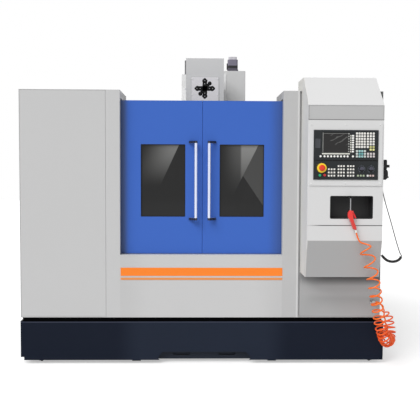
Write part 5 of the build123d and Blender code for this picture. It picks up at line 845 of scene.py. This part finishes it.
class MACHINING_OT_operator_keys(bpy.types.Operator):
    """Set the key caps, soft keys, dial scales and stop collar on the operator panel"""

    bl_idname = "machining.operator_keys"
    bl_label = "Operator keys"

    def execute(self, context):
        sizes = context.scene.machining_keys
        colours = context.scene.machining_colours
        table = key_centres()
        top, dish, width = (1000 * size for size in (sizes.key_height, sizes.dish, sizes.key_width))
        profile = [(0, -0.4), (0, top - 1.0), (0.35, top - 0.3), (1.1, top), (2.4, top - dish * 0.4),
                   (4.4, top - dish * 0.9), (6.79, top - dish)]
        centres = np.array([on_unit(x, z) for x, z in table[:, :2]])
        caps = padded_box(centres, width, width, 2.6, profile, 3)
        local = (caps - centres[:, None, None, :]) * 1000
        narrow = (table[:, 2] / FULL_KEY)[:, None, None]
        stretch = np.stack([narrow, np.ones_like(narrow), narrow], axis=-1)
        caps = centres[:, None, None, :] + local * stretch / 1000
        number = np.arange(len(table))[:, None, None] * np.ones(caps.shape[1:3])
        where = np.stack([local[..., 0] / width + 0.5, local[..., 2] / width + 0.5, number], axis=-1)
        shade = np.array([tone(*row) for row in table[:, 3:]])[:, None, None, :]
        shade = np.broadcast_to(shade, (*caps.shape[:3], 4))
        material, tree = new_material("Key cap plastic")
        paint = tree.node("Attribute", attribute_name="key_tone").outputs["Color"]
        u, v, number = tree.split(tree.node("Attribute", attribute_name="key_place").outputs["Vector"])
        kind = tree.math("MODULO", tree.times(number, 7.0), 5.0)
        dash = tree.times(tree.patch(u, v, 0.3, 0.7, 0.44, 0.56, 0.02), tree.math("LESS_THAN", kind, 2.5))
        post = tree.times(tree.patch(u, v, 0.44, 0.56, 0.3, 0.7, 0.02), tree.math("GREATER_THAN", kind, 1.5))
        mark = tree.times(tree.math("MAXIMUM", dash, post), 0.75)
        dirt = tree.noise(tree.coordinates(), 300.0)
        tree.finish(tree.blend(mark, paint, tone(58, 58, 60)), tree.linear(dirt, 0.2, 0.32), dirt, 0.00003)
        add("key_caps", caps, material, "console_grey", marks={"key_place": where, "key_tone": shade})

        pale = moulded("Soft key plastic", tone(246, 246, 242), 0.4)
        profile = [(0, -0.4), (0, top - 0.9), (0.4, top - 0.2), (1.2, top), (5.19, top - 0.3)]
        spots = [on_unit(963, z) for z in SOFT_KEY_HEIGHTS]
        keys = padded_box(spots, 13.4, 10.4, 2, profile, 3)
        add("side_soft_keys", keys, pale, "console_grey")
        profile = [(6.8, -0.4), (6.8, top - 0.8), (6.2, top - 0.1), (4.5, top), (2, top - 0.5),
                   (0, top - 0.6)]
        spots = [on_unit(x, 1442) for x in (754.0, *(779.8 + 21.4 * i for i in range(8)), 964.1)]
        keys = turned(spots, profile, 16)
        add("lower_soft_keys", keys, pale, "console_grey")

        collar = turned([on_unit(762.5, 1366.5)],
                        [(31.4, -0.4), (31.6, 2), (31.4, 6), (30.2, 8.2), (28.5, 8.7), (18, 8.6), (14.2, 8.4),
                         (13.2, 7.8), (12.8, 5.0), (12.8, 0.4), (12.8, -0.4), (31.4, -0.4)], 48)
        add("stop_collar", collar, moulded("Collar yellow", colours.collar, 0.4, 0.00003), "band_orange")
        for name, colour, node in (("Mushroom red", colours.mushroom, "estop_button"),
                                   ("Button red", tone(200, 44, 46), "stop_button"),
                                   ("Button green", tone(34, 166, 110), "start_button")):
            dress(moulded(name, colour, 0.3, 0.00002, 0.4), node)
        bezels = turned([on_unit(750.5, 1319.5), on_unit(781.5, 1320.5)],
                        [(11.8, -0.4), (11.8, 1.4), (11.0, 2.3), (9.4, 2.4), (9.0, 1.8), (9.0, -0.4)], 28)
        add("button_bezels", bezels, moulded("Bezel plastic", tone(24, 25, 26), 0.35, 0.00003))

        ticks = []
        inner, half = 19.5, 0.55
        for x, z in DIAL_CENTRES:
            for i, angle in enumerate(np.radians(np.linspace(-60, 240, 21))):
                outer = inner + (2.8 if i % 5 else 4.6)
                corners = [(inner, -half), (outer, -half), (outer, half), (inner, half)]
                ticks.append(flat_shape(corners, (inner + outer) / 2, 0.2, angle, on_unit(x, z)))
        add("dial_scales", np.array(ticks), enamel("Dial print", tone(150, 160, 176), 0.5, 0.01, 0, 0),
            "console_grey", smooth=False)
        return {"FINISHED"}


class MACHINING_OT_operator_units(bpy.types.Operator):
    """Finish the black units, the screen, the port flap, the knobs and the niche"""

    bl_idname = "machining.operator_units"
    bl_label = "Display and control units"

    def execute(self, context):
        dress(moulded("Unit plastic", tone(33, 36, 38), 0.5, 0.00004), "display_unit", "control_panel")
        dress(moulded("Pendant shell", tone(22, 22, 24), 0.5), "pendant_body", "pendant_wheel")
        for name, rules, colour, other, scale, spread, roughness, nodes in (
                # The knobs' paler blue-grey upper fronts are painted highlights.
                ("Knob plastic with painted highlight", [("y", "ramp", -1.121, -1.123), ("z", "ramp", 1.350, 1.360)],
                 tone(14, 14, 15), tone(84, 84, 96), 1400.0, 0.15, 0.45, ["feed_knob", "speed_knob"]),
                # The niche is painted paler in its middle and foot and darker towards its sides and top, as
                # painted shade in the recess.
                ("Niche liner with painted shade", [(("x", 0.9625), "ramp", 0.14, 0.02), ("z", "ramp", 1.19, 1.06)],
                 tone(48, 48, 49), tone(56), 900.0, 0.2, 0.4, ["console_niche"])):
            material, tree = new_material(name)
            height, value = use(tree, "Cast grain", Scale=scale)
            tree.finish(tree.blend(tree.mask(rules), colour, other), tree.linear(value, spread, roughness),
                        height, 0.00008, Specular_IOR_Level=0.2)
            dress(material, *nodes)

        lcd, tree = new_material("Screen")
        x, _, z = tree.axes()
        u = tree.math("DIVIDE", tree.minus(x, 0.7655), 0.178)
        v = tree.math("DIVIDE", tree.minus(z, 1.4665), 0.130)
        wave = tree.fill(tree.node("TexWave", wave_type="BANDS", bands_direction="Z"),
                         Vector=tree.coordinates(turn=(0, 0.5, 0)), Scale=9.0, Distortion=7.0, Detail=2.0,
                         Detail_Scale=1.4)
        traces = tree.times(tree.ramp(wave.outputs["Fac"], 0.9, 0.98),
                            tree.patch(u, v, 0.3, 0.93, 0.4, 0.92, 0.05), 0.12)
        rims = tree.math("ADD", tree.inside(v, 0.008, 0.014, 0.004), tree.inside(v, 0.945, 0.955, 0.004))
        rims = tree.math("ADD", tree.inside(u, 0.012, 0.03, 0.004), rims, clamp=True)
        column = tree.times(tree.inside(tree.math("FRACT", tree.times(v, 8.0)), 0.2, 0.7, 0.02),
                            tree.inside(u, 0.94, 0.99, 0.003))
        light = tree.math("ADD", traces, tree.times(rims, 0.55), clamp=True)
        light = tree.math("ADD", light, tree.times(column, 0.5), clamp=True)
        shade = tree.blend(light, tone(40, 39, 39), tone(206, 208, 204))
        tree.finish(shade, 0.3, Emission_Color=shade, Emission_Strength=0.15, Specular_IOR_Level=0.2)
        screen = padded_box([place(854.5, -287, 1531.5)], 178, 130, 1.5,
                            [(0, 0), (0, 0.4), (0.4, 0.7), (20, 0.7), (64.9, 0.7)], 3)
        add("screen_face", screen, lcd)

        edge = [(0, -0.2), (0, 0.3), (0.3, 0.5)]
        strip = padded_box([on_unit(853.5, 1458.6)], 181, 7.6, 1, [*edge, (3.79, 0.5)], 2)
        side_strip = padded_box([on_unit(950, z) for z in SOFT_KEY_HEIGHTS], 8, 9.6, 1,
                                [*edge, (3.99, 0.5)], 2)
        add("soft_key_labels", np.concatenate([strip, side_strip]),
            moulded("Label film", tone(232, 232, 222), 0.5, 0.00002), "console_grey")
        gasket = padded_box([on_unit(919, 1415.6)], 419, 7.0, 0.8,
                            [(0, -0.2), (0, 0.2), (0.5, 0.5), (3.49, 0.5)], 2)
        add("unit_gasket", gasket, moulded("Gasket rubber", tone(3, 3, 4), 0.7, 0.00002, scuff=0.0))
        flap = padded_box([on_unit(736, 1525)], 34, 60, 4,
                          [(0, -0.4), (0, 1.6), (0.8, 2.4), (3.0, 2.5), (4.2, 2.0), (16.9, 2.0)], 4)
        add("port_flap", flap, moulded("Flap plastic", tone(66, 68, 72), 0.4, 0.00004))
        return {"FINISHED"}


# The axis sign's shapes, pointing across from its middle
ARROW_HEAD = [(42, -17), (48, -17), (53, -20), (64, -20), (80, -4), (80, 4), (64, 20), (53, 20), (48, 17),
              (42, 17), (42, 6), (42, -6)]
ARROW_STEM = [(-18, -18), (10, -18), (30, -18), (50, -17), (50, -4), (50, 4), (50, 17), (30, 18), (10, 18),
              (-18, 18), (-18, 4), (-18, -4)]
SLANT_STEM = [(-10, -11), (12, -11), (28, -11), (52, -11), (52, -3), (52, 3), (52, 11), (28, 11), (12, 11),
              (-10, 11), (-10, 3), (-10, -3)]
SLANT_ANGLES = (46, 230)


class MACHINING_OT_axis_sign(bpy.types.Operator):
    """Lay the three crossing axis arrows and the screws on the head's plate"""

    bl_idname = "machining.axis_sign"
    bl_label = "Axis sign"

    def execute(self, context):
        origin = place(14, SIGN_FACE, 1984.5)
        arrows, dots = [], []
        for angle in np.arange(4) * math.pi / 2:
            arrows += [flat_shape(ARROW_HEAD, 58, 0.5, angle, origin),
                       flat_shape(ARROW_STEM, 20, 0.45, angle, origin)]
            dots += [origin + (x * ACROSS + z * UP) / 1000 for x, z in spun([(61, 0), (36, 0)], angle)]
        ring = np.linspace(0, 2 * math.pi, len(SLANT_STEM), endpoint=False)
        slant_end = np.c_[54 + 16 * np.cos(ring), 16 * np.sin(ring)]
        for angle in np.radians(SLANT_ANGLES):
            arrows += [flat_shape(slant_end, 54, 0.5, angle, origin),
                       flat_shape(SLANT_STEM, 20, 0.4, angle, origin)]
        add("axis_arrows", np.array(arrows), moulded("Sign print", tone(1), 0.8, 0.00002, scuff=0.0),
            body="head", smooth=False)
        add("axis_sign_dots", turned(dots, [(3.6, 0.2), (3.6, 0.8), (1.2, 0.8), (1.2, 0.2)], 14),
            moulded("Sign dots", tone(176), 0.5, 0.00002), "console_grey", "head", smooth=False)
        corners = [place(15 + a * 99, SIGN_FACE, 1998 + b * 60) for a in (-1, 1) for b in (-1, 1)]
        screws = turned(corners, [(5.5, 0), (5.4, 1.4), (4.4, 2.5), (2.6, 2.9), (2.2, 1.4), (0, 1.4)], 18)
        add("sign_screws", screws, enamel("Screw enamel", tone(244), 0.4, 0.01, 0.1, 0.0), "handle_metal",
            "head")
        left, right, low, high, inset = 682, 1157, 1252, 1660, 14
        spots = [place(x, CONSOLE_FACE - 6, z) for z in (low + inset, high - inset)
                 for x in (left + inset, (left + right) / 2, right - inset)]
        screws = turned(spots, [(4.5, 0), (4.4, 1.2), (3.6, 2.2), (2.2, 2.5), (1.9, 1.2), (0, 1.2)], 18)
        add("console_screws", screws, bare_metal("Screw zinc", tone(214), 0.3, (1, 1, 1), 80.0, 0.1),
            "handle_metal")
        return {"FINISHED"}


class MACHINING_OT_air_gun(bpy.types.Operator):
    """Finish the moulded air gun, its nozzle and its hose tail"""

    bl_idname = "machining.air_gun"
    bl_label = "Air gun"

    def execute(self, context):
        gun, tree = new_material("Gun body and nozzle")
        z = tree.axes()[2]
        nozzle = tree.ramp(z, 1.094, 1.095)
        tail = tree.ramp(z, 0.9665, 0.9655)
        fall = tree.ramp(z, 1.045, 1.012)
        tip = tree.ramp(z, 1.1700, 1.1715)
        worn = use(tree, "Edge wear", Width=0.003, Amount=0.8)[0]
        lines = use(tree, "Brushed lines", Stretch=(1, 1, 30), Scale=60.0)
        body = tree.blend(fall, context.scene.machining_colours.gun, tone(212, 50, 42))
        body = tree.blend(worn, body, tone(250, 130, 120))
        # Above the tip height the nozzle is black: partly its dark collar, partly painted shade at its end.
        steel = tree.blend(tip, tone(158, 158, 160), tone(12))
        shade = tree.blend(tail, tree.blend(nozzle, body, steel), tone(236, 236, 232))
        tree.finish(shade, tree.linear(lines[0], 0.2, 0.25), lines[1], 0.00003,
                    Metallic=tree.times(nozzle, 0.9), Coat_Weight=0.2)
        dress(gun, "air_gun")
        dress(moulded("Trigger red", tone(214, 40, 40), 0.35, 0.00003, 0.2), "gun_trigger")
        return {"FINISHED"}


def seen_directly(tree):
    """1 for rays from the camera, from glossy faces and through glass, and 0 for those that gather light."""
    rays = tree.node("LightPath").outputs
    mirrored = tree.math("MAXIMUM", rays["Is Glossy Ray"], rays["Is Transmission Ray"])
    return tree.math("MAXIMUM", rays["Is Camera Ray"], mirrored)


class MACHINING_OT_studio(bpy.types.Operator):
    """Set the pale floor, the white surround and the soft lamps"""

    bl_idname = "machining.studio"
    bl_label = "Studio"

    def execute(self, context):
        studio = context.scene.machining_studio
        half = 24
        grid = np.array([[[[x, y, 0.0] for x in (-half, half)] for y in (-half, half)]])
        floor = surface("studio_floor", grid, wrap=False)
        if floor.data.polygons[0].normal.z < 0:
            floor.data.flip_normals()
        material, tree = new_material("Studio floor")
        fine = tree.noise(tree.coordinates(), 3.0)
        tree.finish(tree.blend(fine, dim(studio.floor, 0.98), studio.floor), 0.9, Specular_IOR_Level=0.1)
        glow = tree.fill(tree.node("Emission"), Strength=tree.times(seen_directly(tree), 0.45))
        both = tree.fill(tree.node("AddShader"), tree.shader.outputs[0], glow.outputs[0])
        end = next(node for node in tree.tree.nodes if node.type == "OUTPUT_MATERIAL")
        tree.fill(end, Surface=both.outputs[0])
        dress(material, "studio_floor")

        world = bpy.data.worlds.new("studio")
        context.scene.world = world
        world.use_nodes = True
        tree = Tree(world.node_tree)
        tree.fill(world.node_tree.nodes["Background"], Color=(1, 1, 1, 1),
                  Strength=tree.linear(seen_directly(tree), 1.0 - studio.sky, studio.sky))
        lamp = bpy.data.lights.new("key", "SUN")
        lamp.energy = studio.sun
        lamp.angle = math.radians(40)
        key = bpy.data.objects.new("key", lamp)
        key.rotation_euler = (math.radians(46), 0, math.radians(-38))
        context.scene.collection.objects.link(key)
        context.scene.view_settings.view_transform = "Standard"
        return {"FINISHED"}


class MACHINING_PT_panel(bpy.types.Panel):
    """Shows the colours, sizes and studio settings, and a button for each operator"""

    bl_idname = "MACHINING_PT_panel"
    bl_label = "Machining centre"
    bl_space_type = "VIEW_3D"
    bl_region_type = "UI"
    bl_category = "Machining centre"

    def draw(self, context):
        for group in GROUPS:
            values = getattr(context.scene, group)
            for key in values.bl_rna.properties.keys():
                if key not in ("rna_type", "name"):
                    self.layout.prop(values, key)
        for operator in OPERATORS:
            self.layout.operator(operator.bl_idname)


GROUPS = {"machining_colours": Colours, "machining_cords": CordSizes, "machining_keys": KeySizes,
          "machining_studio": Studio}
OPERATORS = (MACHINING_OT_camera, MACHINING_OT_air_hose, MACHINING_OT_pendant_cord, MACHINING_OT_enamels,
             MACHINING_OT_metals, MACHINING_OT_windows, MACHINING_OT_operator_units,
             MACHINING_OT_operator_keys, MACHINING_OT_axis_sign, MACHINING_OT_air_gun, MACHINING_OT_studio)


def register():
    for group, kind in GROUPS.items():
        bpy.utils.register_class(kind)
        setattr(bpy.types.Scene, group, PointerProperty(type=kind))
    for kind in (*OPERATORS, MACHINING_PT_panel):
        bpy.utils.register_class(kind)


def unregister():
    for kind in (MACHINING_PT_panel, *reversed(OPERATORS)):
        bpy.utils.unregister_class(kind)
    for group, kind in reversed(GROUPS.items()):
        delattr(bpy.types.Scene, group)
        bpy.utils.unregister_class(kind)


def main():
    register()
    build_effects()
    for operator in OPERATORS:
        group, name = operator.bl_idname.split(".")
        getattr(getattr(bpy.ops, group), name)()


if __name__ == "__main__":
    main()
